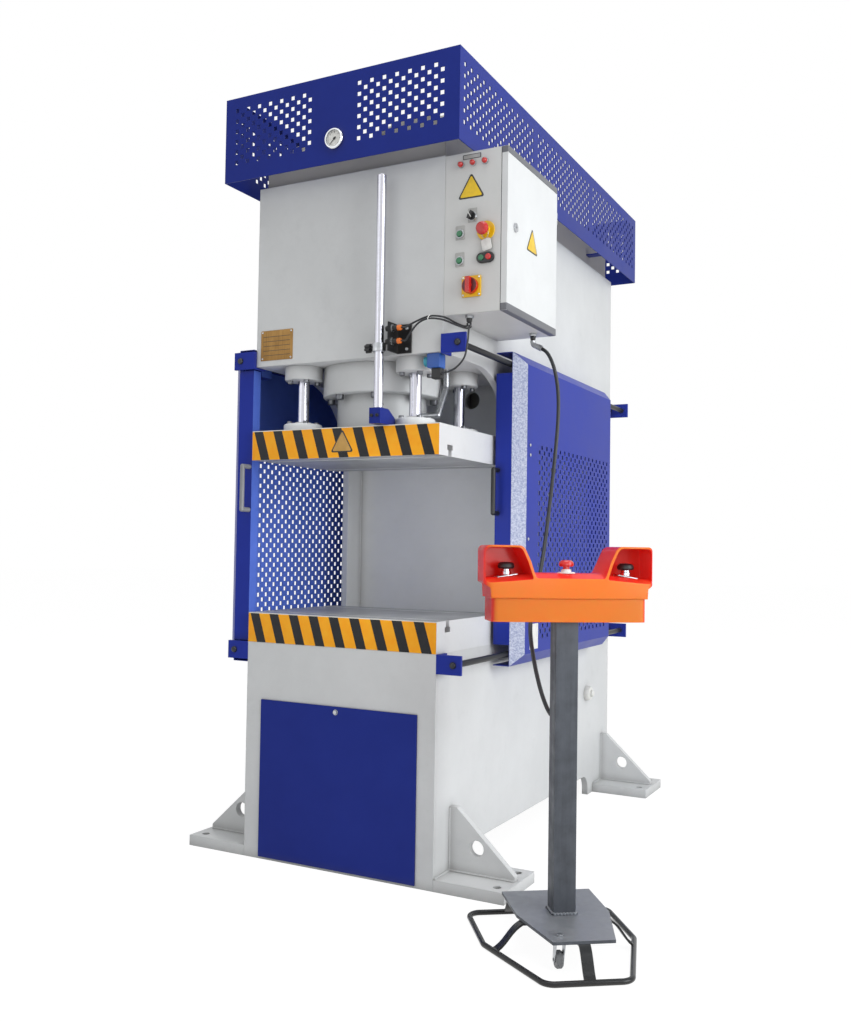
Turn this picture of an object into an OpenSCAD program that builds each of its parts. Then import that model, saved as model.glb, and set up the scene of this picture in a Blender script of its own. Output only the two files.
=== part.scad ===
// C-frame hydraulic press with sliding guards, a control cabinet and a two-hand control stand.
// Millimetres. X is to the right, Y to the back, Z up. The origin is on the floor, midway
// between the anchor holes. Places given as "from the front" are measured from the base front.

/* [Frame] */
// Width over the two side plates
frame_w = 720; // [660:10:780]
// Depth of the side plates, front to back
frame_d = 1700; // [1640:10:1780]
// Thickness of the side plates
plate_t = 25; // [20:1:32]
// Thickness of the front plates of base and head
front_t = 12; // [8:1:16]
// Thickness of the throat back plate and the rear plate
web_t = 25; // [16:1:32]
// How far the head front stands behind the base front
head_setback = 14; // [12:1:24]
// Height of the frame under the lower platen
bed_h = 720; // [640:5:800]
// Height of the throat, bed to head
throat_h = 940; // [880:5:1040]
// Height of the head above the throat
head_h = 620; // [580:5:700]
// Depth of the throat, base front to throat edge
throat_d = 580; // [575:5:640]
// Upper corner radius of the throat
throat_r = 300; // [120:5:320]
// Lower corner radius of the throat
throat_low_r = 50; // [20:5:55]
// Base front to the throat back plate
web_y = 680; // [660:5:740]
// Thickness of the head bottom plate
head_plate_t = 50; // [40:1:60]
// Diameter of the hose hole in the throat back plate
web_hole_d = 66; // [40:1:80]
// Sideways place of the hose hole
web_hole_x = 145; // [100:5:200]
// Height of the hose hole below the head
web_hole_drop = 52; // [45:1:90]
// Height of the raised bottom edge of the side plates
relief_h = 85; // [40:5:120]
// Length of side plate that stands on the floor at each end
relief_end = 262; // [245:1:320]
// Corner radius of the raised bottom edge
relief_r = 60; // [20:5:80]
// Width of the access panel in the base front
panel_w = 596; // [500:4:620]
// Height of the access panel
panel_h = 522; // [400:2:560]
// Height of the access panel's lower edge
panel_z = 8; // [4:1:20]
// Thickness of the access panel
panel_t = 4; // [2:1:6]
// How far the access panel overlaps its opening
panel_lap = 30; // [15:1:50]

/* [Anchor feet] */
// Reach of a foot beyond the side plate
foot_l = 236; // [200:2:280]
// Depth of a foot
foot_d = 240; // [200:5:241]
// Thickness of a foot
foot_t = 35; // [25:1:45]
// How far the rear feet stand out behind the side plates
foot_overhang = 40; // [0:5:60]
// Thickness of the gusset on a foot
gusset_t = 25; // [16:1:32]
// Height of the gusset above the foot
gusset_h = 200; // [160:5:240]
// Diameter of the lifting hole in a gusset
gusset_hole_d = 50; // [30:1:60]
// Diameter of an anchor hole
anchor_d = 26; // [18:1:32]
// Anchor hole to the outer end and sides of its foot
anchor_edge = 40; // [30:1:60]

/* [Platens] */
// Platen's side inside the frame's side
platen_side = 0; // [0:1:30]
// Depth of the platens
platen_d = 520; // [500:5:525]
// Thickness of the platens
platen_t = 100; // [80:1:106]
// Head to the top of the upper platen with the ram up
ram_drop = 223; // [215:1:240]
// Width of a T-slot's neck
slot_w = 22; // [14:1:28]
// Width of a T-slot's head
slot_head_w = 38; // [30:1:48]
// Height of a T-slot's head
slot_head_h = 16; // [10:1:20]
// Depth of a T-slot
slot_depth = 36; // [28:1:44]
// T-slot to the nearer edge of the platen
slot_inset = 75; // [50:1:120]

/* [Ram] */
// Gap from the cylinder's flange to the guide bushes, both sides
flange_gap = 6; // [4:1:40]
// Height of that flange
cyl_flange_h = 100; // [60:1:120]
// Nose's side inside the barrel's side
nose_step = 15; // [5:1:25]
// Gap between the nose and the raised platen
nose_gap = 10; // [5:1:30]
// Barrel's side inside the flange's rim
barrel_step = 35; // [20:1:45]
// Top of the barrel to the top of the side plates
barrel_gap = 60; // [40:1:80]
// Thickness of the barrel's end wall
barrel_end = 30; // [20:1:40]
// Thickness of the barrel's wall
barrel_wall = 40; // [30:1:55]
// Height of the piston
piston_h = 80; // [50:1:90]
// Piston rod's side inside the piston's side
piston_step = 30; // [25:1:60]
// Gap above the piston with the ram up
piston_gap = 23; // [15:1:30]
// Guide columns inside the frame's side
column_in = 140; // [120:1:142]
// Front-to-back distance of the guide columns from the cylinder
column_y = 162; // [161:1:175]
// Diameter of the guide columns
column_d = 40; // [30:1:50]
// Top of the guide columns to the top of the side plates, with the ram up
column_gap = 143; // [120:1:200]
// Diameter of the flanges on the guide bushes and the columns
bush_d = 130; // [100:1:132]
// Height of a guide bush
bush_h = 46; // [30:1:60]
// Height of the flange at the foot of a column
foot_flange_h = 26; // [16:1:32]
// Radial running clearance of all sliding and turning fits
fit_gap = 0.05; // [0.02:0.01:0.08]
// Diameter of the hydraulic pipe
pipe_d = 22; // [16:1:28]

/* [Position rod] */
// Position rod inside the frame's side
pos_in = 204; // [190:1:240]
// Position rod's axis in front of the base front
pos_y = 30; // [28:1:45]
// Diameter of the position rod
pos_d = 30; // [20:1:34]
// Top of the position rod to the top of the side plates, with the ram up
pos_gap = 45; // [30:1:80]
// Width of the rod clamp
clamp_w = 40; // [38:1:60]
// Height of the rod clamp
clamp_h = 50; // [35:1:60]
// How far the rod clamp reaches back over the platen
clamp_reach = 46; // [30:1:48]
// Diameter of the trip collar
collar_d = 44; // [40:1:48]
// Height of the trip collar
collar_h = 26; // [16:1:34]
// Middle of the trip collar above the platen
collar_rise = 243; // [200:1:250]
// Diameter of the collar's star knob
knob_d = 30; // [20:1:40]
// Diameter of an end sensor
sensor_d = 18; // [12:1:20]
// Length of an end sensor
sensor_l = 54; // [40:1:60]
// Gap between a sensor's face and the trip collar
sensor_gap = 3; // [2:1:5]
// Height of the lower sensor above the underside of the head
sensor_rise = 36; // [30:1:44]
// Distance between the two sensors
sensor_pitch = 42; // [30:1:50]

/* [Hood] */
// Height of the hood panels
hood_h = 290; // [240:5:340]
// Gap between the hood's lower edge and the top of the side plates
hood_lift = 7; // [0:1:20]
// Overhang of the hood at the front
hood_front = 70; // [50:1:100]
// Overhang of the hood at each side
hood_side = 88; // [60:1:120]
// Overhang of the hood at the back
hood_back = 83; // [60:1:120]
// Thickness of the hood and guard sheets
sheet_t = 3; // [2:1:4]
// Width of the return flange along the hood's upper edge
hood_lip = 30; // [15:1:40]
// Side of a square perforation
perf = 14; // [10:1:16]
// Half the pitch of the staggered perforations along a panel
perf_px = 23; // [20:1:28]
// Half the pitch of the staggered perforations up a panel
perf_pz = 18; // [17:1:24]
// Diameter of the pressure gauge
gauge_d = 68; // [50:1:80]

/* [Power unit] */
// Height of the oil tank
tank_h = 110; // [90:5:130]
// Overlap of the oil tank on each side plate
tank_lap = 10; // [5:1:20]
// Front of the frame to the front of the oil tank
tank_y = 40; // [30:5:80]
// Oil tank's back in front of the back of the side plates
tank_back = 40; // [20:5:100]
// Diameter of the pump motor
motor_d = 170; // [140:2:180]
// Length of the pump motor
motor_l = 300; // [240:5:360]

/* [Guards] */
// Length of a guard along its rods
guard_l = 1000; // [900:10:1050]
// Right guard's front edge from the base front, as left in the photo
right_guard_y = 400; // [100:10:600]
// Left guard's front edge from the base front, as left in the photo
left_guard_y = 15; // [12:1:60]
// Side plate to the inner edge of a guard
guard_gap = 12; // [12:1:20]
// Side plate to the start of a guard's bevel
guard_rim = 72; // [70:1:80]
// Width of the bevel round a guard, measured square to the frame
bevel = 40; // [25:1:50]
// Side plate to the axis of the guard rods
guard_rod_x = 58; // [50:1:58]
// Lower guard rods below the bed
rod_low_drop = 30; // [28:1:50]
// Upper guard rods above the underside of the head
rod_high_rise = 23; // [10:1:30]
// Guard rods to the upper and lower edges of a guard
guard_edge = 40; // [30:1:48]
// Diameter of the guard rods
guard_rod_d = 20; // [16:1:22]
// Height of a rod bracket
bracket_h = 60; // [40:1:64]
// Thickness of a rod bracket
bracket_t = 10; // [6:1:11]
// Length of a rod bracket along the side plate
bracket_l = 60; // [40:1:80]
// Height of a guard handle
handle_h = 164; // [120:2:220]
// Middle of the handles above the lower guard rods
handle_rise = 553; // [400:1:650]
// Diameter of a handle's grip
handle_d = 16; // [12:1:20]

/* [Cabinet] */
// Width of the cabinet box
cab_w = 192; // [184:1:210]
// Depth of the cabinet, front to back
cab_d = 420; // [400:5:500]
// Cabinet's underside above the underside of the head
cab_rise = 111; // [108:1:116]
// Cabinet's top below the top of the side plates
cab_gap = 4; // [3:1:30]
// Thickness of the cabinet's sheet
cab_t = 3; // [2:1:4]
// Thickness of the cabinet door
door_t = 20; // [16:1:28]
// Gap of the door's seal
door_gap = 2; // [1:1:3]
// Diameter of a panel cut-out for a 22 mm control
cutout_d = 22; // [22:0.5:23]
// Diameter of a control's bezel
bezel_d = 30; // [28:1:32]
// Left column of controls from the side plate
col_left = 55; // [45:1:60]
// Right column of controls from the side plate
col_right = 143; // [138:1:150]
// Middle column of controls from the side plate
col_mid = 97; // [93:1:100]

/* [Control stand] */
// Sideways place of the stand
stand_x = 845; // [800:5:900]
// Stand's post from the base front
stand_y = -191; // [-230:1:-160]
// Turn of the stand about its post
stand_turn = 36; // [30:1:40]
// Width of the square post
post_w = 60; // [50:1:70]
// Wall of the square post
post_t = 3; // [2:1:5]
// Height of the console's underside
con_z = 857; // [840:1:900]
// Height of the base plate's top
base_z = 88; // [80:1:100]
// Thickness of the base plate
base_t = 8; // [5:1:12]
// Diameter of the floor ring's tube
ring_d = 20; // [16:1:25]
// Bend radius of the floor ring
ring_bend = 40; // [25:1:60]
// Width of the straps between ring and base plate
strap_w = 30; // [20:1:32]
// Thickness of the straps
strap_t = 6; // [4:1:8]
// Diameter of the caster wheel
wheel_d = 44; // [36:1:50]
// Width of the caster wheel
wheel_w = 18; // [14:1:22]
// Caster wheel's clearance above the floor
wheel_lift = 4; // [2:1:8]
// Trail of the caster
caster_trail = 12; // [8:1:14]

/* [Console] */
// Width of the console over its hoods
con_w = 464; // [450:2:500]
// Depth of the console
con_d = 126; // [120:2:180]
// Height of the console's base
con_base_h = 62; // [45:1:70]
// Height of the console's middle above the parting line
con_mid_h = 66; // [62:1:84]
// Height of the button hoods above the parting line
con_hood_h = 139; // [132:1:170]
// Middle of the console to the palm buttons
palm_x = 165; // [162:1:172]
// Diameter of the palm buttons
palm_d = 45; // [36:1:48]
// Wall of the console
con_t = 5; // [3:1:6]

/* [Hidden] */
$fn = 64;
half_w = frame_w / 2;
inner_w = frame_w - 2 * plate_t;
throat_top = bed_h + throat_h;
frame_h = throat_top + head_h;
head_y = head_setback + front_t;
rear_foot_y = frame_d + foot_overhang - foot_d;
anchor_x = half_w + foot_l - anchor_edge;
front_y = -(frame_d + foot_overhang) / 2;
cyl_y = platen_d / 2;
platen_w = frame_w - 2 * platen_side;
column_x = half_w - column_in;
pos_x = half_w - pos_in;
cyl_flange_d = floor(2 * norm([column_x, column_y]) - bush_d - flange_gap);
barrel_d = cyl_flange_d - 2 * barrel_step;
nose_d = barrel_d - 2 * nose_step;
piston_d = barrel_d - 2 * barrel_wall;
ram_d = piston_d - 2 * piston_step;
low_top = bed_h + platen_t;
up_top = throat_top - ram_drop;
up_z = up_top - platen_t;
nose_bottom = up_top + nose_gap;
flange_z = throat_top - cyl_flange_h;
seal_z = throat_top - 10;
barrel_h = head_h - barrel_gap;
chamber_top = throat_top + barrel_h - barrel_end;
piston_rise = chamber_top - piston_gap - piston_h - up_top;
column_l = frame_h - column_gap - up_top;
pos_l = frame_h - pos_gap - up_top;
collar_z = up_top + collar_rise;
sensor_z = throat_top + sensor_rise;
sensor_x = pos_x + collar_d / 2 + sensor_gap;
stem_d = 8;
hood_z = frame_h + hood_lift;
hood_top = hood_z + hood_h;
hood_x = half_w + hood_side;
hood_y1 = frame_d + hood_back;
tank_x = inner_w / 2 + tank_lap;
tank_y1 = frame_d - tank_back;
tank_top = frame_h + tank_h;
motor_z = tank_top + motor_d / 2 + 6;
gauge_z = hood_z + 77;
guard_in = half_w + guard_gap;
guard_rim_x = half_w + guard_rim;
guard_out = guard_rim_x + bevel;
rod_x = half_w + guard_rod_x;
rod_low_z = bed_h - rod_low_drop;
rod_high_z = throat_top + rod_high_rise;
guard_z0 = rod_low_z - guard_edge;
guard_z1 = rod_high_z + guard_edge;
bracket_w = guard_rod_x + 27;
wall_inset = guard_edge + 32;
handle_z = rod_low_z + handle_rise;
handle_out = 38;
handle_in = 10;
cab_z = throat_top + cab_rise;
cab_h = frame_h - cab_gap - cab_z;
cab_x1 = half_w + cab_w;
cab_y1 = head_setback + cab_d;
door_x = cab_x1 + door_gap;
hinge_x = door_x + door_t / 2;
hinge_y = cab_y1 + 9;
hinge_d = 14;
pin_d = 6;
knuckle_h = 40;
cap_d = 18;
cap_out = 11;
lock_d = 22;
lock_y = head_setback + 62;
lock_z = cab_z + cab_h / 2 + 15;
row_lamp = cab_z + cab_h - 37;
row_select = cab_z + 301;
row_upper = cab_z + 251;
row_lower = cab_z + 167;
row_main = cab_z + 83;
dual_pitch = 25;
lamp_pitch = 41;
gland_d = 20;
gland_h = 24;
gland_a = [158, 354];
gland_b = [78, 26];
part_z = con_z + con_base_h;
con_mid = part_z + con_mid_h;
con_top = part_z + con_hood_h;
hood_in = 94;
cover_r = 28;
base_r = 18;
base_w = con_w - 44;
palm_y = -12;
tube_z = ring_d / 2;
under_z = base_z - base_t;
ring_front = 262;
ring_back = 232;
ring_front_w = 112;
ring_side_w = 214;
plate_front = 211;
plate_back = 164;
plate_front_w = 80;
plate_side_w = 126;
caster_x = -52;
caster_y = -172;
axle_z = wheel_d / 2 + wheel_lift;
axle_d = 8;
pivot_d = 10;

// Routes of the cords, from the front, end to end
cord_gap = 0.1;
sensor_end = sensor_x + sensor_l + cord_gap;
gland_x = half_w + gland_b.x;
gland_y = head_setback + gland_b.y;
gland_z = cab_z - gland_h - cord_gap;
door_gland_x = half_w + gland_a.x;
door_gland_y = head_setback + gland_a.y;
switch_x = half_w - 15 + cord_gap;
console_route = [[door_gland_x, door_gland_y, gland_z], [door_gland_x, door_gland_y, gland_z - 15],
    [door_gland_x, door_gland_y, gland_z - 30],
    [half_w + 181, 376, throat_top - 6], [half_w + 216, 392, throat_top - 110],
    [half_w + 238, 372, throat_top - 230], [half_w + 250, 330, throat_top - 355],
    [634, 205, 1080], [662, 70, 925], [690, -50, 830], [stand_x - 127, stand_y + 101, con_z - 122],
    [stand_x - 89, stand_y + 73, con_z - 217], [stand_x - 53, stand_y + 56, con_z - 265],
    [stand_x - 29, stand_y + 45, con_z - 217], [stand_x - 27, stand_y + 37, con_z - 117],
    [stand_x - 27, stand_y + 37, con_z - 60], [stand_x - 27, stand_y + 37, con_z - cord_gap]];
upper_route = [[sensor_end, -pos_y, sensor_z + sensor_pitch],
    [sensor_end + 8, -pos_y, sensor_z + sensor_pitch], [sensor_end + 16, -pos_y, sensor_z + sensor_pitch],
    [half_w - 70, -28, throat_top + 94], [half_w - 30, -20, throat_top + 107],
    [half_w + 12, -6, throat_top + 103], [gland_x - 34, gland_y - 28, gland_z - 1],
    [gland_x - 14, gland_y - 12, gland_z - 10], [gland_x - 5, gland_y - 3, gland_z - 7.5],
    [gland_x - 5, gland_y - 3, gland_z - 3.5], [gland_x - 5, gland_y - 3, gland_z]];
lower_route = [[sensor_end, -pos_y, sensor_z], [sensor_end + 8, -pos_y, sensor_z],
    [sensor_end + 16, -pos_y, sensor_z],
    [half_w - 86, -38, throat_top + 58], [half_w - 60, -38, throat_top + 84],
    [half_w - 28, -31, throat_top + 97], [half_w + 12, -17, throat_top + 93],
    [gland_x - 30, gland_y - 36, gland_z - 9], [gland_x - 6, gland_y - 10, gland_z - 17],
    [gland_x + 2, gland_y + 6, gland_z - 11], [gland_x + 2, gland_y + 6, gland_z - 5],
    [gland_x + 2, gland_y + 6, gland_z]];
switch_route = [[gland_x + 6, gland_y - 3, gland_z], [gland_x + 6, gland_y - 3, gland_z - 4],
    [gland_x + 6, gland_y - 3, gland_z - 8], [gland_x + 14, gland_y - 28, gland_z - 16],
    [gland_x + 21, -8, throat_top + 52], [gland_x + 23, -18, throat_top + 15],
    [gland_x + 14, -20, throat_top - 30], [gland_x - 14, -16, throat_top - 58],
    [half_w + 32, -6, throat_top - 68], [half_w + 8, -1, throat_top - 69],
    [half_w - 4, 18, throat_top - 67], [switch_x + 7, 36, throat_top - 66],
    [switch_x + 3.5, 36, throat_top - 66], [switch_x, 36, throat_top - 66]];

// Places and shapes that several sub-parts share

// Moves what is measured from the base front to the part's origin
module from_front() {
    translate([0, front_y, 0]) children();
}

// Extrudes a flat outline drawn in Y and Z along X
module yz(x0, t) {
    translate([x0, 0, 0]) rotate([90, 0, 90]) linear_extrude(t) children();
}

// Extrudes a flat outline drawn in X and Z along Y
module xz(y0, t) {
    translate([0, y0 + t, 0]) rotate([90, 0, 0]) linear_extrude(t) children();
}

// A cylinder along X
module rod_along_x(d, l) {
    rotate([0, 90, 0]) cylinder(d = d, h = l);
}

// A cylinder along Y
module rod_along_y(d, l) {
    rotate([-90, 0, 0]) cylinder(d = d, h = l);
}

// A rectangle with round corners, centred
module round_rect(w, h, r) {
    square([w - 2 * r, h], center = true);
    square([w, h - 2 * r], center = true);
    for (sx = [-1, 1], sy = [-1, 1]) translate([sx * (w / 2 - r), sy * (h / 2 - r)]) circle(r);
}

// Points of one rounded corner of an outline
function corner(a, b, c, r, n) =
    r <= 0 ? [b] :
    let (u = (a - b) / norm(a - b), w = (c - b) / norm(c - b), turn = acos(u * w))
    let (o = b + (u + w) / norm(u + w) * r / sin(turn / 2), t = r / tan(turn / 2))
    let (s = b + u * t - o, e = b + w * t - o)
    let (a0 = atan2(s.y, s.x), sweep = (atan2(e.y, e.x) - a0 + 540) % 360 - 180)
    [for (k = [0:n]) o + r * [cos(a0 + sweep * k / n), sin(a0 + sweep * k / n)]];

// An outline with each corner rounded by its own radius in m chords
function rounded(p, r, m) =
    let (n = len(p))
    [for (i = [0:n - 1]) each corner(p[(i + n - 1) % n], p[i], p[(i + 1) % n], r[i], m)];

// Staggered square perforations that fill a width and a height from a corner
module perforation(w, h) {
    for (i = [0:floor((w - perf) / perf_px)], j = [0:floor((h - perf) / perf_pz)])
        if ((i + j) % 2 == 0) translate([i * perf_px, j * perf_pz]) square(perf);
}

// A smooth curve through the points of a route, sampled n times a span
function along(p, i) = p[max(0, min(len(p) - 1, i))];
function smooth(p, n) = [
    for (i = [0:len(p) - 2], k = [0:n - 1])
        let (a = along(p, i - 1), b = p[i], c = p[i + 1], d = along(p, i + 2), t = k / n)
        b + (c - a) * t / 2 + (a * 2 - b * 5 + c * 4 - d) * t * t / 2
            + (b * 3 - a - c * 3 + d) * t * t * t / 2,
    p[len(p) - 1]];

// A round tube swept along a route
module cord(route, d, n, sides) {
    p = smooth(route, n);
    m = len(p);
    rings = [for (i = [0:m - 1])
        let (v = along(p, i + 1) - along(p, i - 1), f = v / norm(v))
        let (ref = abs(f.x) < 0.8 ? [1, 0, 0] : [0, 1, 0], s = cross(f, ref))
        let (a = s / norm(s), b = cross(f, a))
        for (k = [0:sides - 1])
            p[i] + d / 2 * (a * cos(360 * k / sides) + b * sin(360 * k / sides))];
    walls = [for (i = [0:m - 2], k = [0:sides - 1])
        let (a = i * sides + k, b = i * sides + (k + 1) % sides)
        each [[a, b, a + sides], [b, b + sides, a + sides]]];
    ends = [[for (k = [0:sides - 1]) sides - 1 - k], [for (k = [0:sides - 1]) (m - 1) * sides + k]];
    polyhedron(rings, concat([for (f = walls) [f[2], f[1], f[0]]],
        [for (f = ends) [for (k = [len(f) - 1:-1:0]) f[k]]]));
}

// Frame

// The throat's outline, open to the front
module throat() {
    r = throat_r;
    q = throat_low_r;
    translate([-50, bed_h]) square([throat_d - r + 50, throat_top - bed_h]);
    translate([-50, bed_h + q]) square([throat_d + 50, throat_top - r - bed_h - q]);
    translate([-50, bed_h]) square([throat_d - q + 50, q + 1]);
    translate([throat_d - r, throat_top - r]) circle(r, $fn = 128);
    translate([throat_d - q, bed_h + q]) circle(q);
}

// One side plate's outline
module side_outline() {
    difference() {
        translate([front_t, 0]) square([frame_d - front_t, frame_h]);
        translate([-50, throat_top]) square([head_y + 50, frame_h]);
        throat();
        translate([relief_end, -relief_r]) square([frame_d - 2 * relief_end, relief_h]);
        translate([relief_end + relief_r, -1])
            square([frame_d - 2 * relief_end - 2 * relief_r, relief_h + 1]);
        for (y = [relief_end + relief_r, frame_d - relief_end - relief_r])
            translate([y, relief_h - relief_r]) circle(relief_r);
    }
}

module left_side_plate() {
    color("whitesmoke") from_front() yz(-half_w, plate_t) side_outline();
}

module right_side_plate() {
    color("whitesmoke") from_front() yz(half_w - plate_t, plate_t) side_outline();
}

module head_front_plate() {
    color("gainsboro") from_front() translate([-half_w, head_setback, throat_top])
        cube([frame_w, front_t, frame_h - throat_top]);
}

module head_bottom_plate() {
    color("whitesmoke") from_front() difference() {
        translate([-inner_w / 2, head_y, throat_top])
            cube([inner_w, web_y + web_t - head_y, head_plate_t]);
        translate([0, cyl_y, throat_top - 1]) cylinder(d = barrel_d + 1, h = head_plate_t + 2);
        for (sx = [-1, 1], sy = [-1, 1]) translate([sx * column_x, cyl_y + sy * column_y, throat_top - 1])
            cylinder(d = column_d + 12, h = head_plate_t + 2);
    }
}

module throat_back_plate() {
    color("darkgray") from_front() difference() {
        translate([-inner_w / 2, web_y, bed_h]) cube([inner_w, web_t, throat_top - bed_h]);
        translate([web_hole_x, web_y - 1, throat_top - web_hole_drop]) rod_along_y(web_hole_d, web_t + 2);
    }
}

module rear_plate() {
    color("whitesmoke") from_front() translate([-inner_w / 2, frame_d - web_t, relief_h])
        cube([inner_w, web_t, frame_h - relief_h]);
}

module base_front_plate() {
    color("whitesmoke") from_front() xz(0, front_t) difference() {
        translate([-half_w, 0]) square([frame_w, bed_h]);
        translate([-panel_w / 2 + panel_lap, panel_z + panel_lap])
            square([panel_w - 2 * panel_lap, panel_h - 2 * panel_lap]);
    }
}

module access_panel() {
    color("royalblue") from_front() translate([-panel_w / 2, -panel_t, panel_z])
        cube([panel_w, panel_t, panel_h]);
}

// One foot for the right side, front edge at y = 0
module anchor_foot() {
    tip = foot_l - 12;
    difference() {
        translate([half_w, 0, 0]) cube([foot_l, foot_d, foot_t]);
        for (y = [anchor_edge, foot_d - anchor_edge])
            translate([anchor_x, y, -1]) cylinder(d = anchor_d, h = foot_t + 2);
    }
    xz(foot_d / 2 - gusset_t / 2, gusset_t) translate([half_w, foot_t]) difference() {
        polygon([[0, 0], [tip, 0], [tip, 15], [25, gusset_h], [0, gusset_h]]);
        translate([95, 82]) circle(d = gusset_hole_d);
    }
}

module anchor_feet() {
    color("whitesmoke") from_front() for (y = [0, rear_foot_y]) translate([0, y, 0]) {
        anchor_foot();
        mirror([1, 0, 0]) anchor_foot();
    }
}

// Platens and ram

// A platen's section with T-slots open upwards, front edge at y = 0
module platen_section() {
    difference() {
        square([platen_d, platen_t]);
        for (y = [slot_inset, platen_d - slot_inset]) {
            translate([y - slot_w / 2, platen_t - slot_depth]) square([slot_w, slot_depth + 1]);
            translate([y - slot_head_w / 2, platen_t - slot_depth]) square([slot_head_w, slot_head_h]);
        }
    }
}

module lower_platen() {
    color("white") from_front() translate([0, 0, bed_h]) yz(-platen_w / 2, platen_w) platen_section();
}

module upper_platen() {
    color("white") from_front() translate([0, 0, up_top]) mirror([0, 0, 1])
        yz(-platen_w / 2, platen_w) platen_section();
}

module cylinder_body() {
    bore = ram_d / 2 + fit_gap;
    chamber = piston_d / 2 + fit_gap;
    color("whitesmoke") from_front() translate([0, cyl_y, 0]) rotate_extrude($fn = 96) polygon([
        [bore, nose_bottom], [nose_d / 2 - 4, nose_bottom], [nose_d / 2, nose_bottom + 4],
        [nose_d / 2, flange_z], [cyl_flange_d / 2 - 3, flange_z], [cyl_flange_d / 2, flange_z + 3],
        [cyl_flange_d / 2, throat_top], [barrel_d / 2, throat_top],
        [barrel_d / 2, throat_top + barrel_h], [0, throat_top + barrel_h], [0, chamber_top],
        [chamber, chamber_top], [chamber, seal_z], [bore, seal_z]]);
}

module piston_rod() {
    color("silver") from_front() translate([0, cyl_y, up_top]) {
        cylinder(d = ram_d, h = piston_rise, $fn = 96);
        translate([0, 0, piston_rise]) cylinder(d = piston_d, h = piston_h, $fn = 96);
    }
}

module at_columns() {
    for (sx = [-1, 1], sy = [-1, 1]) translate([sx * column_x, cyl_y + sy * column_y, 0]) children();
}

module guide_bushes() {
    r = bush_d / 2;
    color("whitesmoke") from_front() at_columns() translate([0, 0, throat_top - bush_h])
        rotate_extrude() polygon([[column_d / 2 + fit_gap, 0], [r - 3, 0], [r, 3], [r, bush_h],
            [column_d / 2 + fit_gap, bush_h]]);
}

module guide_columns() {
    r = bush_d / 2;
    color("silver") from_front() at_columns() translate([0, 0, up_top])
        rotate_extrude() polygon([[0, 0], [r, 0], [r, foot_flange_h - 3], [r - 3, foot_flange_h],
            [column_d / 2, foot_flange_h], [column_d / 2, column_l - 4], [column_d / 2 - 4, column_l],
            [0, column_l]]);
}

module position_rod() {
    color("silver") from_front() translate([pos_x, -pos_y, up_top]) {
        cylinder(d = pos_d, h = pos_l - 2);
        translate([0, 0, pos_l - 2]) cylinder(d1 = pos_d, d2 = pos_d - 4, h = 2);
    }
}

module rod_clamp() {
    front = pos_y + pos_d / 2 + 7;
    color("mediumblue") from_front() difference() {
        translate([0, 0, up_top]) yz(pos_x - clamp_w / 2, clamp_w) polygon([[-front, 0],
            [clamp_reach, 0], [clamp_reach, clamp_h * 0.45], [0, clamp_h], [-front, clamp_h]]);
        translate([pos_x, -pos_y, up_top - 1]) cylinder(d = pos_d + 2 * fit_gap, h = clamp_h + 2);
    }
}

module trip_collar() {
    color("silver") from_front() translate([pos_x, -pos_y, collar_z - collar_h / 2]) difference() {
        cylinder(d = collar_d, h = collar_h);
        translate([0, 0, -1]) cylinder(d = pos_d + 2 * fit_gap, h = collar_h + 2);
        translate([-collar_d, 0, collar_h / 2]) rod_along_x(stem_d + 2 * fit_gap, collar_d);
    }
}

module collar_knob() {
    stem = collar_d / 2 + 8;
    tip = pos_d / 2 + 0.4;
    lobe = knob_d * 0.28;
    color("dimgray") from_front() translate([pos_x, -pos_y, collar_z]) {
        translate([-stem - 2, 0, 0]) rod_along_x(stem_d, stem + 2 - tip);
        translate([-stem - 18, 0, 0]) rotate([0, 90, 0]) linear_extrude(18) {
            circle(knob_d / 2 - lobe * 0.6);
            for (a = [0:60:300]) rotate(a) translate([knob_d / 2 - lobe / 2, 0]) circle(lobe / 2);
        }
    }
}

module sensor_bracket() {
    x0 = sensor_x + 16;
    z0 = throat_top + 4;
    h = sensor_rise + sensor_pitch + 14;
    color("black") from_front() difference() {
        union() {
            translate([x0, head_setback - 5, z0]) cube([52, 5, h]);
            translate([x0, -pos_y - 20, z0]) cube([5, pos_y + 20 + head_setback, h]);
        }
        for (z = [sensor_z, sensor_z + sensor_pitch])
            translate([x0 - 1, -pos_y, z]) rod_along_x(sensor_d + 2 * fit_gap, 7);
    }
}

module end_sensors() {
    nut = sensor_d + 8;
    color("orange") from_front() for (z = [sensor_z, sensor_z + sensor_pitch])
        translate([sensor_x, -pos_y, z]) {
            rod_along_x(sensor_d, sensor_l);
            translate([12, 0, 0]) rotate([0, 90, 0]) cylinder(d = nut, h = 4, $fn = 6);
            translate([21, 0, 0]) rotate([0, 90, 0]) cylinder(d = nut, h = 4, $fn = 6);
        }
}

module pressure_switch() {
    z1 = throat_top - 2;
    color("dodgerblue") from_front() translate([half_w - 60, 22, z1 - 44]) {
        cube([45, 40, 46]);
        translate([-16, 20, 22]) rod_along_x(32, 16);
        translate([12, 8, -34]) cube([33, 24, 34]);
    }
}

module hydraulic_pipe() {
    a = [nose_d / 2 - 0.1, cyl_y, nose_bottom + 50];
    b = [cyl_flange_d / 2 + pipe_d / 2 + 3, cyl_y, nose_bottom + 50];
    c = [b.x, cyl_y + 60, flange_z + 40];
    d = [b.x, cyl_y + 60, throat_top];
    color("gray") from_front() difference() {
        union() {
            for (s = [[a, b], [b, c], [c, d]]) stick(s[0], s[1], pipe_d);
            for (p = [b, c]) translate(p) sphere(d = pipe_d);
        }
        translate([0, cyl_y, nose_bottom]) cylinder(d = nose_d, h = 100);
    }
}

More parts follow.
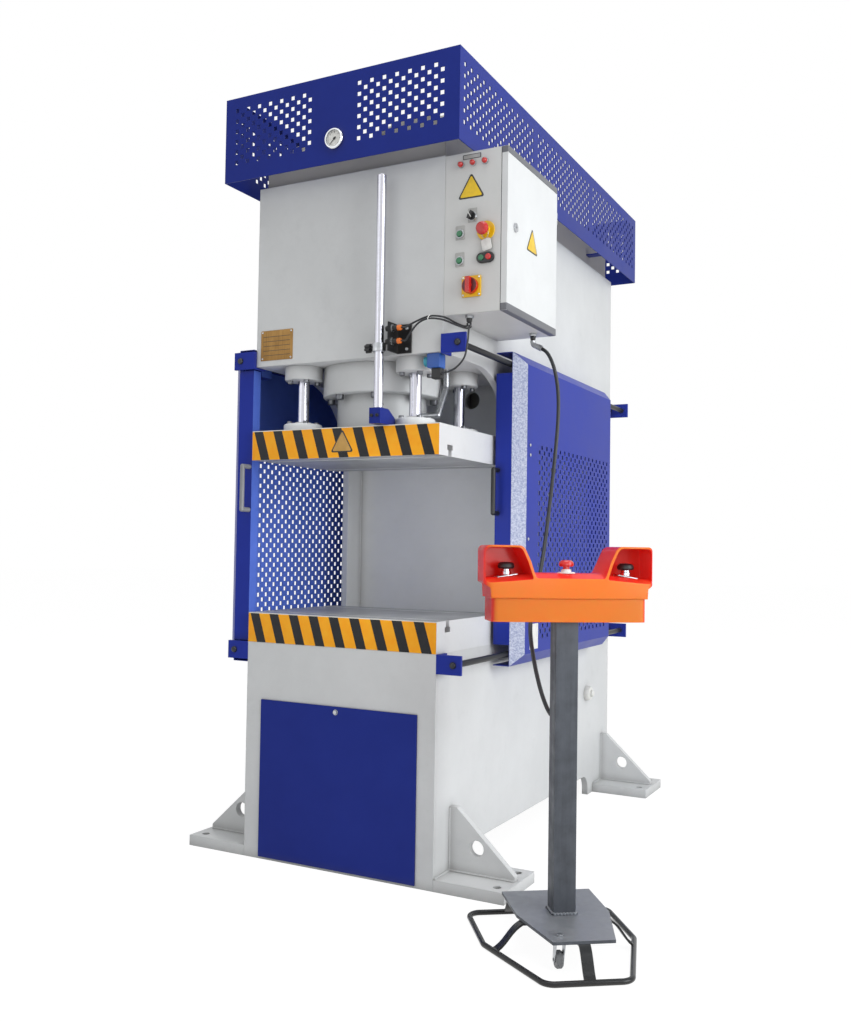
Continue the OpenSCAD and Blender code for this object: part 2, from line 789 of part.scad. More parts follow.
// A straight round bar between two points
module stick(p, q, d) {
    v = q - p;
    translate(p) rotate([0, acos(v.z / norm(v)), atan2(v.y, v.x)]) cylinder(d = d, h = norm(v));
}

// Hood and power unit

// One hood side panel's perforations, in three groups along the panel
module hood_side_holes() {
    l = hood_front + hood_y1;
    group = (l - 4 * hood_lip) / 3;
    for (k = [0:2]) translate([-hood_front + hood_lip + k * (group + hood_lip), hood_z + 58])
        perforation(group, hood_h - 84);
}

module hood_side_panel() {
    l = hood_front + hood_y1;
    yz(hood_x - sheet_t, sheet_t) difference() {
        translate([-hood_front, hood_z]) square([l, hood_h]);
        hood_side_holes();
    }
    translate([hood_x - hood_lip, sheet_t - hood_front, hood_top - sheet_t])
        cube([hood_lip, l - 2 * sheet_t, sheet_t]);
    for (y = [0.18, 0.5, 0.82]) translate([tank_x, frame_d * y, hood_z + 40])
        cube([hood_x - sheet_t - tank_x, 40, 5]);
}

module hood_side_panels() {
    color("royalblue") from_front() {
        hood_side_panel();
        mirror([1, 0, 0]) hood_side_panel();
    }
}

// One hood end panel's outline with two groups of perforations
module hood_end_outline(hole) {
    w = hood_x - sheet_t;
    difference() {
        translate([-w, hood_z]) square([2 * w, hood_h]);
        for (x = [-w + 38, 82]) translate([x, hood_z + 58]) perforation(w - 120, hood_h - 84);
        if (hole > 0) translate([0, gauge_z]) circle(d = hole);
    }
}

module hood_end_panels() {
    lip = hood_x - hood_lip;
    color("royalblue") from_front() {
        xz(-hood_front, sheet_t) hood_end_outline(gauge_d - 8);
        translate([-lip, -hood_front, hood_top - sheet_t]) cube([2 * lip, hood_lip, sheet_t]);
        xz(hood_y1 - sheet_t, sheet_t) hood_end_outline(0);
        translate([-lip, hood_y1 - hood_lip, hood_top - sheet_t]) cube([2 * lip, hood_lip, sheet_t]);
    }
}

// Places a turned piece on the hood's front panel, its axis to the front
module at_gauge() {
    translate([0, -hood_front, gauge_z]) rotate([90, 0, 0]) children();
}

module pressure_gauge() {
    r = gauge_d / 2;
    color("silver") from_front() at_gauge() rotate_extrude() polygon([[0, -28], [9, -28], [9, -20],
        [r - 5, -20], [r - 5, 0], [r, 0], [r, 9], [r - 2, 12], [r - 6, 12], [r - 6, 4], [0, 4]]);
}

module gauge_needle() {
    color("black") from_front() at_gauge() translate([0, 0, 4.3]) {
        cylinder(d = 7, h = 3);
        rotate(225) translate([0, 0, 1]) linear_extrude(1.2)
            polygon([[-8, -1.6], [gauge_d / 2 - 12, -0.5], [gauge_d / 2 - 12, 0.5], [-8, 1.6]]);
    }
}

module oil_tank() {
    l = tank_y1 - tank_y;
    color("lightslategray") from_front() {
        translate([-tank_x, tank_y, frame_h]) cube([2 * tank_x, l, tank_h]);
        translate([-tank_x + 70, tank_y + 110, tank_top]) {
            cylinder(d = 60, h = 20);
            translate([0, 0, 20]) cylinder(d = 78, h = 42);
        }
        translate([60, tank_y + 120, tank_top]) {
            cube([180, 130, 70]);
            for (y = [25, 85]) translate([0, y, 70]) {
                cube([180, 40, 42]);
                translate([-45, 20, 21]) rod_along_x(38, 45);
                translate([180, 20, 21]) rod_along_x(38, 45);
            }
        }
    }
}

module pump_motor() {
    r = motor_d / 2;
    rib = r - 9;
    bell = 110;
    color("slategray") from_front() translate([0, tank_y + 560, motor_z]) {
        rotate([-90, 0, 0]) rotate_extrude() polygon(concat(
            [[0, -bell - 90], [42, -bell - 90], [42, -bell], [62, -bell], [r - 12, -14], [r - 12, 0],
             [rib, 0]],
            [for (k = [0:9]) each [[rib, 10 + k * 20], [r, 10 + k * 20], [r, 16 + k * 20],
                [rib, 16 + k * 20]]],
            [[rib, motor_l - 70], [r, motor_l - 70], [r, motor_l - 12], [r - 14, motor_l],
             [0, motor_l]]));
        for (y = [40, motor_l - 130], sx = [-1, 1]) translate([sx * 62 - 26, y, tank_top - motor_z])
            cube([52, 50, motor_z - tank_top - 40]);
        translate([-30, 70, rib - 10]) cube([60, 90, 26]);
    }
}

// Guards

module guard_rods() {
    color("dimgray") from_front() for (sx = [-1, 1], z = [rod_low_z, rod_high_z])
        translate([sx * rod_x, bracket_t, z]) rod_along_y(guard_rod_d, frame_d - 2 * bracket_t);
}

// One bracket for the right side: a plate across the rod's end and a leg on the side plate
module guard_bracket() {
    translate([half_w, 0, -bracket_h / 2]) {
        cube([bracket_w, bracket_t, bracket_h]);
        cube([bracket_t - 2, bracket_l, bracket_h]);
    }
}

module guard_brackets() {
    color("mediumblue") from_front() for (sx = [0, 1], z = [rod_low_z, rod_high_z]) mirror([sx, 0, 0]) {
        translate([0, 0, z]) guard_bracket();
        translate([0, frame_d, z]) mirror([0, 1, 0]) guard_bracket();
    }
}

// Section of a guard's pan between two edges, inset by a wall, with x outwards
function pan_section(a, b, t) =
    let (k = t * (sqrt(2) - 1), x0 = guard_in - (t > 0 ? 1 : 0))
    [[x0, a + t], [guard_rim_x - k, a + t], [guard_out - t, a + bevel + k],
     [guard_out - t, b - bevel - k], [guard_rim_x - k, b - t], [x0, b - t]];

// A block in the form of the pan: the overlap of its two sections
module pan_block(t) {
    intersection() {
        translate([0, 0, guard_z0 - 1]) linear_extrude(guard_z1 - guard_z0 + 2)
            polygon(pan_section(0, guard_l, t));
        xz(-1, guard_l + 2) polygon(pan_section(guard_z0, guard_z1, t));
    }
}

// One guard for the right side, front edge at y = 0
module guard() {
    wall_z = guard_z0 + wall_inset;
    wall_h = guard_z1 - guard_z0 - 2 * wall_inset;
    grille_y = 150;
    grille_z = guard_z0 + 85;
    difference() {
        pan_block(0);
        pan_block(sheet_t);
        for (y = [-1, guard_l - sheet_t - 1], z = [guard_z0 + sheet_t, wall_z + wall_h])
            translate([guard_in - 1, y, z])
                cube([guard_rim_x - guard_in - 1, sheet_t + 2, wall_inset - sheet_t]);
        yz(guard_out - sheet_t - 1, sheet_t + 2) translate([grille_y, grille_z])
            perforation(guard_l - grille_y - 60, 0.643 * (guard_z1 - guard_z0));
    }
    for (y = [0, guard_l - 40]) translate([guard_in, y, wall_z]) cube([sheet_t, 40, wall_h]);
    for (y = [80, guard_l - 140], r = [[rod_low_z, 0], [rod_high_z, 1]]) translate([0, y, r[0]])
        mirror([0, 0, r[1]]) difference() {
            union() {
                translate([rod_x - 18, 0, -20]) cube([34, 60, 60]);
                translate([rod_x - 18, 0, 10]) cube([guard_out - sheet_t - rod_x + 18, 60, 30]);
            }
            translate([rod_x, -1, 0]) rod_along_y(guard_rod_d + 2 * fit_gap, 62);
        }
}

// A bow handle on the front wall of the right guard
module guard_handle() {
    x = guard_in + handle_in;
    bar = handle_h - handle_d;
    translate([x, 0, handle_z]) {
        translate([0, -handle_out, -bar / 2]) cylinder(d = handle_d, h = bar);
        for (s = [-1, 1]) translate([0, 0, s * bar / 2]) {
            translate([0, -handle_out, 0]) sphere(d = handle_d);
            translate([0, -handle_out, 0]) rod_along_y(handle_d, handle_out);
        }
    }
}

module right_guard() {
    color("royalblue") from_front() translate([0, right_guard_y, 0]) guard();
}

module right_guard_handle() {
    color("black") from_front() translate([0, right_guard_y, 0]) guard_handle();
}

module left_guard() {
    color("royalblue") from_front() translate([0, left_guard_y, 0]) mirror([1, 0, 0]) guard();
}

module left_guard_handle() {
    color("black") from_front() translate([0, left_guard_y, 0]) mirror([1, 0, 0]) guard_handle();
}

// Cabinet

// Places a piece on the cabinet's front, its axis to the front
module on_panel(x, z) {
    translate([half_w + x, head_setback, z]) rotate([90, 0, 0]) children();
}

// Every control that goes through a round cut-out: place across, height
function controls() = [[col_mid, row_select], [col_left, row_upper], [col_left, row_lower],
    [col_right, row_upper], [col_mid, row_main]];

module cabinet_box() {
    color("whitesmoke") from_front() {
        difference() {
            translate([half_w, head_setback, cab_z]) cube([cab_w, cab_d, cab_h]);
            translate([half_w + cab_t, head_setback + cab_t, cab_z + cab_t])
                cube([cab_w, cab_d - 2 * cab_t, cab_h - 2 * cab_t]);
            for (c = controls()) on_panel(c.x, c.y) translate([0, 0, -cab_t - 1])
                cylinder(d = cutout_d + 2 * fit_gap, h = cab_t + 2);
            for (s = [-1, 1]) on_panel(col_right + s * dual_pitch / 2, row_lower)
                translate([0, 0, -cab_t - 1]) cylinder(d = cutout_d + 2 * fit_gap, h = cab_t + 2);
        }
        for (z = [0.2, 0.8]) translate([0, 0, cab_z + cab_h * z]) {
            translate([cab_x1 - 40, cab_y1, -knuckle_h / 2])
                cube([hinge_x - cab_x1 + 40, 3, knuckle_h / 2 - 1]);
            translate([hinge_x, hinge_y, -knuckle_h / 2]) difference() {
                union() {
                    cylinder(d = hinge_d, h = knuckle_h / 2 - 1);
                    translate([-3, -9, 0]) cube([6, 9, knuckle_h / 2 - 1]);
                }
            }
            translate([hinge_x, hinge_y, -knuckle_h / 2]) cylinder(d = pin_d, h = knuckle_h);
        }
    }
}

module cabinet_door() {
    rim = 16;
    color("white") from_front() {
        difference() {
            translate([door_x, head_setback, cab_z]) cube([door_t, cab_d - 1, cab_h]);
            translate([door_x - 1, head_setback + rim, cab_z + rim])
                cube([door_t - cab_t + 1, cab_d - 2 * rim, cab_h - 2 * rim]);
            translate([door_x - 1, lock_y, lock_z]) rod_along_x(lock_d + 2 * fit_gap, door_t + 2);
        }
        for (z = [0.2, 0.8]) translate([hinge_x, hinge_y, cab_z + cab_h * z]) difference() {
            union() {
                cylinder(d = hinge_d, h = knuckle_h / 2);
                translate([-3, -10.5, 0]) cube([6, 10.5, knuckle_h / 2]);
            }
            translate([0, 0, -1]) cylinder(d = pin_d + 2 * fit_gap, h = knuckle_h);
        }
    }
}

module door_lock() {
    color("gray") from_front() translate([door_x, lock_y, lock_z]) {
        rod_along_x(lock_d, door_t);
        translate([door_t, 0, 0]) difference() {
            rod_along_x(lock_d + 6, 4);
            translate([2, -6, -2]) cube([3, 12, 4]);
        }
        translate([2, -lock_d / 2, -8]) cube([4, 40, 16]);
    }
}

module mounting_plate() {
    x0 = half_w + cab_t;
    y0 = head_setback + 60;
    w = cab_d - 90;
    color("silver") from_front() {
        for (y = [y0 + 15, y0 + w - 15], z = [cab_z + 30, cab_z + cab_h - 30])
            translate([x0, y, z]) rod_along_x(10, 12);
        translate([x0 + 12, y0, cab_z + 20]) cube([3, w, cab_h - 40]);
        for (k = [0:2]) translate([x0 + 15, y0 + 12, cab_z + 70 + k * 150]) cube([8, w - 24, 35]);
        for (k = [0:4]) translate([x0 + 23, y0 + 25 + k * 58, cab_z + 350]) cube([68, 46, 80]);
        for (k = [0:2]) translate([x0 + 23, y0 + 30 + k * 90, cab_z + 200]) cube([80, 70, 84]);
        translate([x0 + 23, y0 + 20, cab_z + 62]) cube([40, w - 40, 50]);
    }
}

// A 22 mm control's body: bezel in front of the panel, barrel behind it, bore for the cap
module control_body(bezel, bore, out) {
    difference() {
        union() {
            cylinder(d = bezel, h = out);
            translate([0, 0, -40]) cylinder(d = cutout_d, h = 40);
        }
        translate([0, 0, -35]) cylinder(d = bore + 2 * fit_gap, h = 60);
    }
}

module panel_fittings() {
    color("dimgray") from_front() {
        on_panel(col_mid, row_select) control_body(bezel_d, cap_d, 5);
        for (z = [row_upper, row_lower]) on_panel(col_left, z) control_body(bezel_d, cap_d, 6);
        on_panel(col_right, row_upper) control_body(60, cap_d, 4);
        on_panel(col_mid, row_main) difference() {
            union() {
                translate([-32.5, -32.5, 0]) cube([65, 65, 5]);
                translate([0, 0, -40]) cylinder(d = cutout_d, h = 41);
            }
            translate([0, 0, -35]) cylinder(d = cap_d + 2 * fit_gap, h = 60);
        }
        on_panel(col_right, row_lower) difference() {
            union() {
                linear_extrude(8) round_rect(58, 32, 15);
                for (s = [-1, 1]) translate([s * dual_pitch / 2, 0, -40]) cylinder(d = cutout_d, h = 41);
            }
            for (s = [-1, 1]) translate([s * dual_pitch / 2, 0, -35])
                cylinder(d = cap_d + 2 * fit_gap, h = 60);
        }
        for (k = [-1:1]) on_panel(col_mid + k * lamp_pitch, row_lamp) {
            cylinder(d = 20, h = 6);
            translate([0, 0, 6]) cylinder(d1 = 18, d2 = 16, h = 12);
        }
        for (g = [gland_a, gland_b]) translate([half_w + g.x, head_setback + g.y, cab_z - gland_h])
            cylinder(d = gland_d, h = gland_h);
    }
}

// A push cap that slides in a control's bore, its face in front of the bezel
module push_cap(out) {
    translate([0, 0, -28]) cylinder(d = cap_d, h = 28 + out - 1.5);
    translate([0, 0, out - 1.5]) cylinder(d1 = cap_d, d2 = cap_d - 3, h = 1.5);
}

// A mushroom head on a stem that slides in a bore
module mushroom(d, seat, h) {
    rotate_extrude() polygon([[0, -28], [cap_d / 2, -28], [cap_d / 2, seat], [d / 2 - 3, seat],
        [d / 2, seat + 4], [d / 2, seat + h * 0.45], [d / 2 - 2, seat + h * 0.72],
        [d / 2 - 7, seat + h * 0.93], [0, seat + h]]);
}

module selector_knob() {
    color("black") from_front() on_panel(col_mid, row_select) {
        translate([0, 0, -28]) cylinder(d = cap_d, h = 34);
        translate([0, 0, 5.3]) cylinder(d = 26, h = 8);
        rotate(-30) translate([-4.5, -13, 13]) cube([9, 26, 12]);
    }
}

module start_button() {
    color("seagreen") from_front() on_panel(col_left, row_upper) push_cap(cap_out);
}

module reset_button() {
    color("seagreen") from_front() on_panel(col_left, row_lower) push_cap(cap_out);
}

module estop_button() {
    color("red") from_front() on_panel(col_right, row_upper) mushroom(40, 22, 20);
}

module on_button() {
    color("seagreen") from_front() on_panel(col_right - dual_pitch / 2, row_lower) push_cap(12);
}

module off_button() {
    color("red") from_front() on_panel(col_right + dual_pitch / 2, row_lower) push_cap(14);
}

module main_switch_handle() {
    color("red") from_front() on_panel(col_mid, row_main) {
        translate([0, 0, -28]) cylinder(d = cap_d, h = 34);
        translate([0, 0, 5.4]) cylinder(d = 50, h = 14);
        translate([-7, -24, 19]) cube([14, 48, 16]);
    }
}

// Cords

module console_cable() {
    color("black") from_front() cord(console_route, 12, 4, 10);
}

module upper_sensor_cable() {
    color("black") from_front() cord(upper_route, 6, 2, 8);
}

module lower_sensor_cable() {
    color("black") from_front() cord(lower_route, 6, 2, 8);
}

module switch_cable() {
    color("black") from_front() cord(switch_route, 6, 2, 8);
}

// Control stand

// Moves what is drawn about the post, front to -Y, to the stand's place
module on_stand() {
    from_front() translate([stand_x, stand_y, 0]) rotate(stand_turn) children();
}

function plate_points() = [[-plate_front_w, -plate_front], [plate_front_w, -plate_front],
    [plate_side_w, -17], [plate_side_w, plate_back], [-plate_side_w, plate_back],
    [-plate_side_w, -17]];

function ring_points() = [[-ring_front_w, -ring_front], [ring_front_w, -ring_front],
    [ring_side_w, 0], [ring_side_w, ring_back], [-ring_side_w, ring_back], [-ring_side_w, 0]];

module stand_post() {
    color("darkslategray") on_stand() {
        translate([0, 0, under_z]) linear_extrude(base_t) difference() {
            polygon(plate_points());
            translate([caster_x, caster_y]) circle(d = pivot_d + 2 * fit_gap);
        }
        translate([0, 0, base_z]) linear_extrude(con_z - base_z) difference() {
            square(post_w, center = true);
            square(post_w - 2 * post_t, center = true);
        }
    }
}

// A closed loop of round tube through flat points, bent at each
module bent_ring(p, bend, d) {
    sides = 12;
    q = rounded(p, [for (k = p) bend], 4);
    n = len(q);
    points = [for (i = [0:n - 1])
        let (v = q[(i + 1) % n] - q[(i + n - 1) % n], f = v / norm(v))
        for (k = [0:sides - 1]) let (c = d / 2 * cos(360 * k / sides))
            [q[i].x + f.y * c, q[i].y - f.x * c, d / 2 * sin(360 * k / sides)]];
    faces = [for (i = [0:n - 1], k = [0:sides - 1])
        let (a = i * sides + k, b = i * sides + (k + 1) % sides)
        let (c = (i + 1) % n * sides + k, e = (i + 1) % n * sides + (k + 1) % sides)
        each [[a, b, c], [b, e, c]]];
    polyhedron(points, faces);
}

// A flat strap that rises from the ring to the underside of the base plate
module strap(p, q) {
    v = q - p;
    l = norm(v);
    top = under_z;
    translate([p.x, p.y, 0]) rotate(atan2(v.y, v.x)) xz(-strap_w / 2, strap_w)
        polygon([[-4, tube_z - strap_t / 2], [4, tube_z - strap_t / 2], [l, top - strap_t],
            [l + 24, top - strap_t], [l + 24, top], [l - 3, top], [-4, tube_z + strap_t / 2]]);
}

module stand_ring() {
    side = ring_front_w + (ring_side_w - ring_front_w) * (ring_front - 45) / ring_front;
    color("black") on_stand() {
        translate([0, 0, tube_z]) bent_ring(ring_points(), ring_bend, ring_d);
        strap([0, -ring_front], [0, -plate_front]);
        for (s = [-1, 1]) {
            strap([s * side, -45], [s * (plate_side_w - 7), -45]);
            strap([s * 90, ring_back], [s * 90, plate_back]);
        }
    }
}

module on_caster() {
    on_stand() translate([caster_x, caster_y, 0]) children();
}

module caster_fork() {
    top = under_z - 0.3;
    gap = wheel_w + 2;
    color("silver") on_caster() {
        translate([0, 0, top - 7]) cylinder(d = 30, h = 7);
        translate([0, 0, top - 10]) cylinder(d = 24, h = 4);
        translate([0, 0, top - 1]) cylinder(d = pivot_d, h = base_t + 6);
        translate([0, 0, base_z + 0.3]) cylinder(d = pivot_d + 8, h = 5, $fn = 6);
        for (s = [-1, 1]) translate([s * (gap / 2 + 1.5), 0, 0]) rotate([90, 0, 90])
            linear_extrude(3, center = true) difference() {
                polygon([[-10, top - 7], [12, top - 7], [caster_trail + 7, axle_z],
                    [caster_trail + 4, axle_z - 7], [caster_trail - 4, axle_z - 7],
                    [caster_trail - 8, axle_z]]);
                translate([caster_trail, axle_z]) circle(d = axle_d + 2 * fit_gap);
            }
        translate([-gap / 2 - 3, -10, top - 10]) cube([gap + 6, 22, 3]);
    }
}

module caster_wheel() {
    color("gray") on_caster() translate([0, caster_trail, axle_z]) {
        rotate([0, 90, 0]) rotate_extrude() polygon([[0, -wheel_w / 2], [wheel_d / 2 - 3, -wheel_w / 2],
            [wheel_d / 2, -wheel_w / 2 + 4], [wheel_d / 2, wheel_w / 2 - 4],
            [wheel_d / 2 - 3, wheel_w / 2], [0, wheel_w / 2]]);
        translate([-wheel_w / 2 - 5, 0, 0]) rod_along_x(axle_d, wheel_w + 10);
    }
}

// Console

module on_console() {
    on_stand() translate([0, 0, part_z]) children();
}

module console_base() {
    color("darkorange") on_stand() translate([0, 0, con_z]) difference() {
        linear_extrude(con_base_h) round_rect(base_w, con_d - 10, base_r);
        translate([0, 0, con_t]) linear_extrude(con_base_h)
            round_rect(base_w - 2 * con_t, con_d - 10 - 2 * con_t, base_r - con_t);
    }
}

// Front outline of the cover, up from the parting line
function cover_points() =
    let (w = con_w / 2, b = base_w / 2 + 3, m = con_mid_h, t = con_hood_h, s = hood_in)
    rounded([[-b, 0], [b, 0], [b + 2, 34], [w, 42], [w, t], [s + 34, t], [s, m],
        [-s, m], [-s - 34, t], [-w, t], [-w, 42], [-b - 2, 34]],
        [0, 0, 4, 4, 18, 22, 10, 10, 22, 18, 4, 4], 6);

// Front outline of one hood's hollow
function hood_points() =
    let (w = con_w / 2 - con_t, t = con_hood_h - con_t, s = hood_in, m = con_mid_h)
    rounded([[s + 6, m - 3], [s + 40, t], [w, t], [w, m - 14]], [4, 18, 14, 6], 6);

module console_cover() {
    back = 16;
    color("orangered") on_console() difference() {
        intersection() {
            xz(-con_d / 2, con_d) polygon(cover_points());
            linear_extrude(con_hood_h) round_rect(con_w, con_d, cover_r);
        }
        for (s = [0, 1]) mirror([s, 0, 0]) {
            xz(-con_d / 2 - 1, con_d - back) polygon(hood_points());
            translate([palm_x, palm_y, 20]) cylinder(d = cap_d + 2 * fit_gap, h = con_mid_h);
        }
        translate([0, 0, -1]) linear_extrude(41)
            round_rect(base_w - 2 * con_t, con_d - 10 - 2 * con_t, base_r - con_t);
        translate([0, palm_y, -1]) cylinder(d = cap_d + 2 * fit_gap, h = con_mid_h + 2);
    }
}

module left_palm_button() {
    color("black") on_console() translate([-palm_x, palm_y, con_mid_h - 13]) mushroom(palm_d, 24, 18);
}

module right_palm_button() {
    color("black") on_console() translate([palm_x, palm_y, con_mid_h - 13]) mushroom(palm_d, 24, 18);
}

module console_estop() {
    color("red") on_console() translate([0, palm_y, con_mid_h]) mushroom(40, 18, 18);
}

left_side_plate();
right_side_plate();
head_front_plate();
head_bottom_plate();
throat_back_plate();
rear_plate();
base_front_plate();
access_panel();
anchor_feet();
lower_platen();
upper_platen();
cylinder_body();
piston_rod();
guide_bushes();
guide_columns();
position_rod();
rod_clamp();
trip_collar();
collar_knob();
sensor_bracket();
end_sensors();
pressure_switch();
hydraulic_pipe();
hood_side_panels();
hood_end_panels();
pressure_gauge();
gauge_needle();
oil_tank();
pump_motor();
guard_rods();
guard_brackets();
left_guard();
left_guard_handle();
right_guard();
right_guard_handle();
cabinet_box();
cabinet_door();
door_lock();
mounting_plate();
panel_fittings();
selector_knob();
start_button();
reset_button();
estop_button();
on_button();
off_button();
main_switch_handle();
console_cable();
upper_sensor_cable();
lower_sensor_cable();
switch_cable();
stand_post();
stand_ring();
caster_fork();
caster_wheel();
console_base();
console_cover();
left_palm_button();
right_palm_button();
console_estop();
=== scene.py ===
import bpy
import bmesh
import numpy as np
from mathutils import Matrix


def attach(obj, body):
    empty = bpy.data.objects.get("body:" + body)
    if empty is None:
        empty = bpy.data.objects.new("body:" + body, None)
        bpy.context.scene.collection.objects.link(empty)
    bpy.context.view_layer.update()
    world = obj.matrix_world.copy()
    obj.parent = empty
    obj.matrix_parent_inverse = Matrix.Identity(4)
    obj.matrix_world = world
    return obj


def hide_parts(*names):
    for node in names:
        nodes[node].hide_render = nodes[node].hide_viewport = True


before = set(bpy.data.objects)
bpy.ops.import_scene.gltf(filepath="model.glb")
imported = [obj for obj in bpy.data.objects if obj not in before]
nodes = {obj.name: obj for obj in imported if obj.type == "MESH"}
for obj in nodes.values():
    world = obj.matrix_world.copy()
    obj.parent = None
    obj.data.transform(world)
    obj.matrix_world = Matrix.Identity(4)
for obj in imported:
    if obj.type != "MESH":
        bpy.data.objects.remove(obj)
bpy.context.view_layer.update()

# Studio: a white cove lit by three soft windows, the strongest on the machine's right, with two
# small fill lamps for the throat and the console. The camera stands at chest height, in front
# and to the right of the machine.


def colour(code):
    """sRGB hex to linear: the low part is a straight line, the rest a power of 2.4."""
    c = np.array([int(code[i:i + 2], 16) for i in (1, 3, 5)]) / 255
    return (*np.where(c <= 0.04045, c / 12.92, ((c + 0.055) / 1.055) ** 2.4), 1.0)


def put_in(tree, node, inputs):
    """Links each named input of a node to a socket, or sets it to a value."""
    for key, value in inputs.items():
        if isinstance(value, bpy.types.NodeSocket):
            tree.links.new(value, node.inputs[key])
        else:
            node.inputs[key].default_value = value


def add(tree, kind, inputs=None, **settings):
    """Adds a shader node, sets its own settings, then fills its inputs."""
    n = tree.nodes.new("ShaderNode" + kind)
    for key, value in settings.items():
        setattr(n, key, value)
    put_in(tree, n, inputs or {})
    return n


scene = bpy.context.scene
scene.view_settings.view_transform = "Standard"
# Solved from the frame's square corners: turn in degrees, place in metres, focal length in rows
yaw, pitch, roll = np.radians([27.97, 2.06, -0.887])
camera_place = (1.80094, -3.66743, 1.04782)
focal_rows, picture_rows, sensor_mm = 1019.57, 1022, 36.0
ahead = np.array([-np.sin(yaw) * np.cos(pitch), np.cos(yaw) * np.cos(pitch), np.sin(pitch)])
level = np.array([np.cos(yaw), np.sin(yaw), 0.0])
upright = np.cross(level, ahead)
view_right = level * np.cos(roll) - upright * np.sin(roll)
view_up = upright * np.cos(roll) + level * np.sin(roll)
camera = bpy.data.objects.new("camera", bpy.data.cameras.new("camera"))
camera.data.sensor_width = sensor_mm
camera.data.lens = sensor_mm * focal_rows / picture_rows
camera.data.clip_end = 100.0
turn = np.eye(4)
turn[:3] = np.column_stack([view_right, view_up, -ahead, camera_place])
camera.matrix_world = Matrix(turn)
scene.collection.objects.link(camera)
scene.camera = camera


def window_light(name, place, target, size, power):
    """A square area lamp at a place, its face turned to a target."""
    lamp = bpy.data.objects.new(name, bpy.data.lights.new(name, "AREA"))
    lamp.data.shape, lamp.data.size, lamp.data.energy = "SQUARE", size, power
    lamp.data.color = (0.95, 0.98, 1.0)
    z = np.array(place, float) - np.array(target, float)
    z /= np.linalg.norm(z)
    x = np.cross([0.0, 0.0, 1.0], z)
    x /= np.linalg.norm(x)
    m = np.eye(4)
    m[:3] = np.column_stack([x, np.cross(z, x), z, place])
    lamp.matrix_world = Matrix(m)
    lamp.visible_camera = False
    scene.collection.objects.link(lamp)


window_light("window_right", (5.6, -1.6, 2.6), (0.2, -0.4, 1.2), 3.8, 208.0)
window_light("window_front", (-2.6, -6.0, 3.2), (0.0, -0.6, 1.2), 3.6, 24.0)
window_light("window_top", (0.6, -1.2, 6.4), (0.0, -0.4, 1.0), 4.0, 120.0)
window_light("throat_fill", (0.25, -0.90, 1.08), (-0.25, -0.3, 1.05), 0.3, 0.8)
window_light("console_fill", (1.29, -1.67, 1.12), (0.80, -1.0, 1.03), 0.3, 1.2)

# The cove is white to the camera, to metal and to glass, and lights the machine at 0.42 of that
world = bpy.data.worlds.new("cove")
scene.world = world
world.use_nodes = True
tree = world.node_tree
tree.nodes.clear()
rays = add(tree, "LightPath")
seen = add(tree, "Math", {0: rays.outputs["Is Camera Ray"], 1: rays.outputs["Is Glossy Ray"]},
           operation="MAXIMUM")
seen = add(tree, "Math", {0: seen.outputs[0], 1: rays.outputs["Is Transmission Ray"]},
           operation="MAXIMUM")
strength = add(tree, "MapRange", {"Value": seen.outputs[0], "To Min": 0.42, "To Max": 1.0})
sky = add(tree, "Background", {"Color": (1, 1, 1, 1), "Strength": strength.outputs[0]})
add(tree, "OutputWorld", {"Surface": sky.outputs[0]})

floor_mesh = bpy.data.meshes.new("cove_floor")
half, under = 30, -0.0006
corners = [(-half, -half, under), (half, -half, under), (half, half, under), (-half, half, under)]
floor_mesh.from_pydata(corners, [], [(0, 1, 2, 3)])
floor = bpy.data.objects.new("cove_floor", floor_mesh)
scene.collection.objects.link(floor)
# Matt white paint: almost even white to the eye, with the shadow left as a soft grey
floor_paint = bpy.data.materials.new("white cove paint")
floor_paint.use_nodes = True
tree = floor_paint.node_tree
tree.nodes.clear()
rays = add(tree, "LightPath")
seen = add(tree, "Math", {0: rays.outputs["Is Camera Ray"], 1: rays.outputs["Is Glossy Ray"]},
           operation="MAXIMUM")
part = add(tree, "Math", {0: seen.outputs[0], 1: 0.86}, operation="MULTIPLY")
matt = add(tree, "BsdfDiffuse", {"Color": (0.86, 0.86, 0.86, 1)})
white = add(tree, "Emission", {"Color": (1, 1, 1, 1), "Strength": 1.1})
both = add(tree, "MixShader", {0: part.outputs[0], 1: matt.outputs[0], 2: white.outputs[0]})
add(tree, "OutputMaterial", {"Surface": both.outputs[0]})
floor_mesh.materials.append(floor_paint)

# Frame: flame-cut steel plates welded to a C, filled, rubbed down and sprayed with a light
# warm-grey enamel. The seams are weld beads under the paint; grime lies in patches, and the corners
# are darkened with painted shade.


def blank(name):
    """A new material: itself, its node tree, its shader and the piece's Object coordinates."""
    m = bpy.data.materials.new(name)
    m.use_nodes = True
    t = m.node_tree
    return m, t, t.nodes["Principled BSDF"], add(t, "TexCoord").outputs["Object"]


def between(t, value, low, high, dark, light):
    """A colour that goes from dark to light while a value goes from low to high."""
    share = add(t, "MapRange", {"Value": value, "From Min": low, "From Max": high})
    tones = {0: share.outputs[0], 6: colour(dark), 7: colour(light)}
    return add(t, "Mix", tones, data_type="RGBA").outputs[2]


def relief(t, height, strength, depth, edge, samples):
    """A normal with a fine relief of depth metres, over edges rounded by edge metres."""
    soft = add(t, "Bevel", {"Radius": edge}, samples=samples).outputs[0]
    rough = {"Height": height, "Strength": strength, "Distance": depth, "Normal": soft}
    return add(t, "Bump", rough).outputs[0]


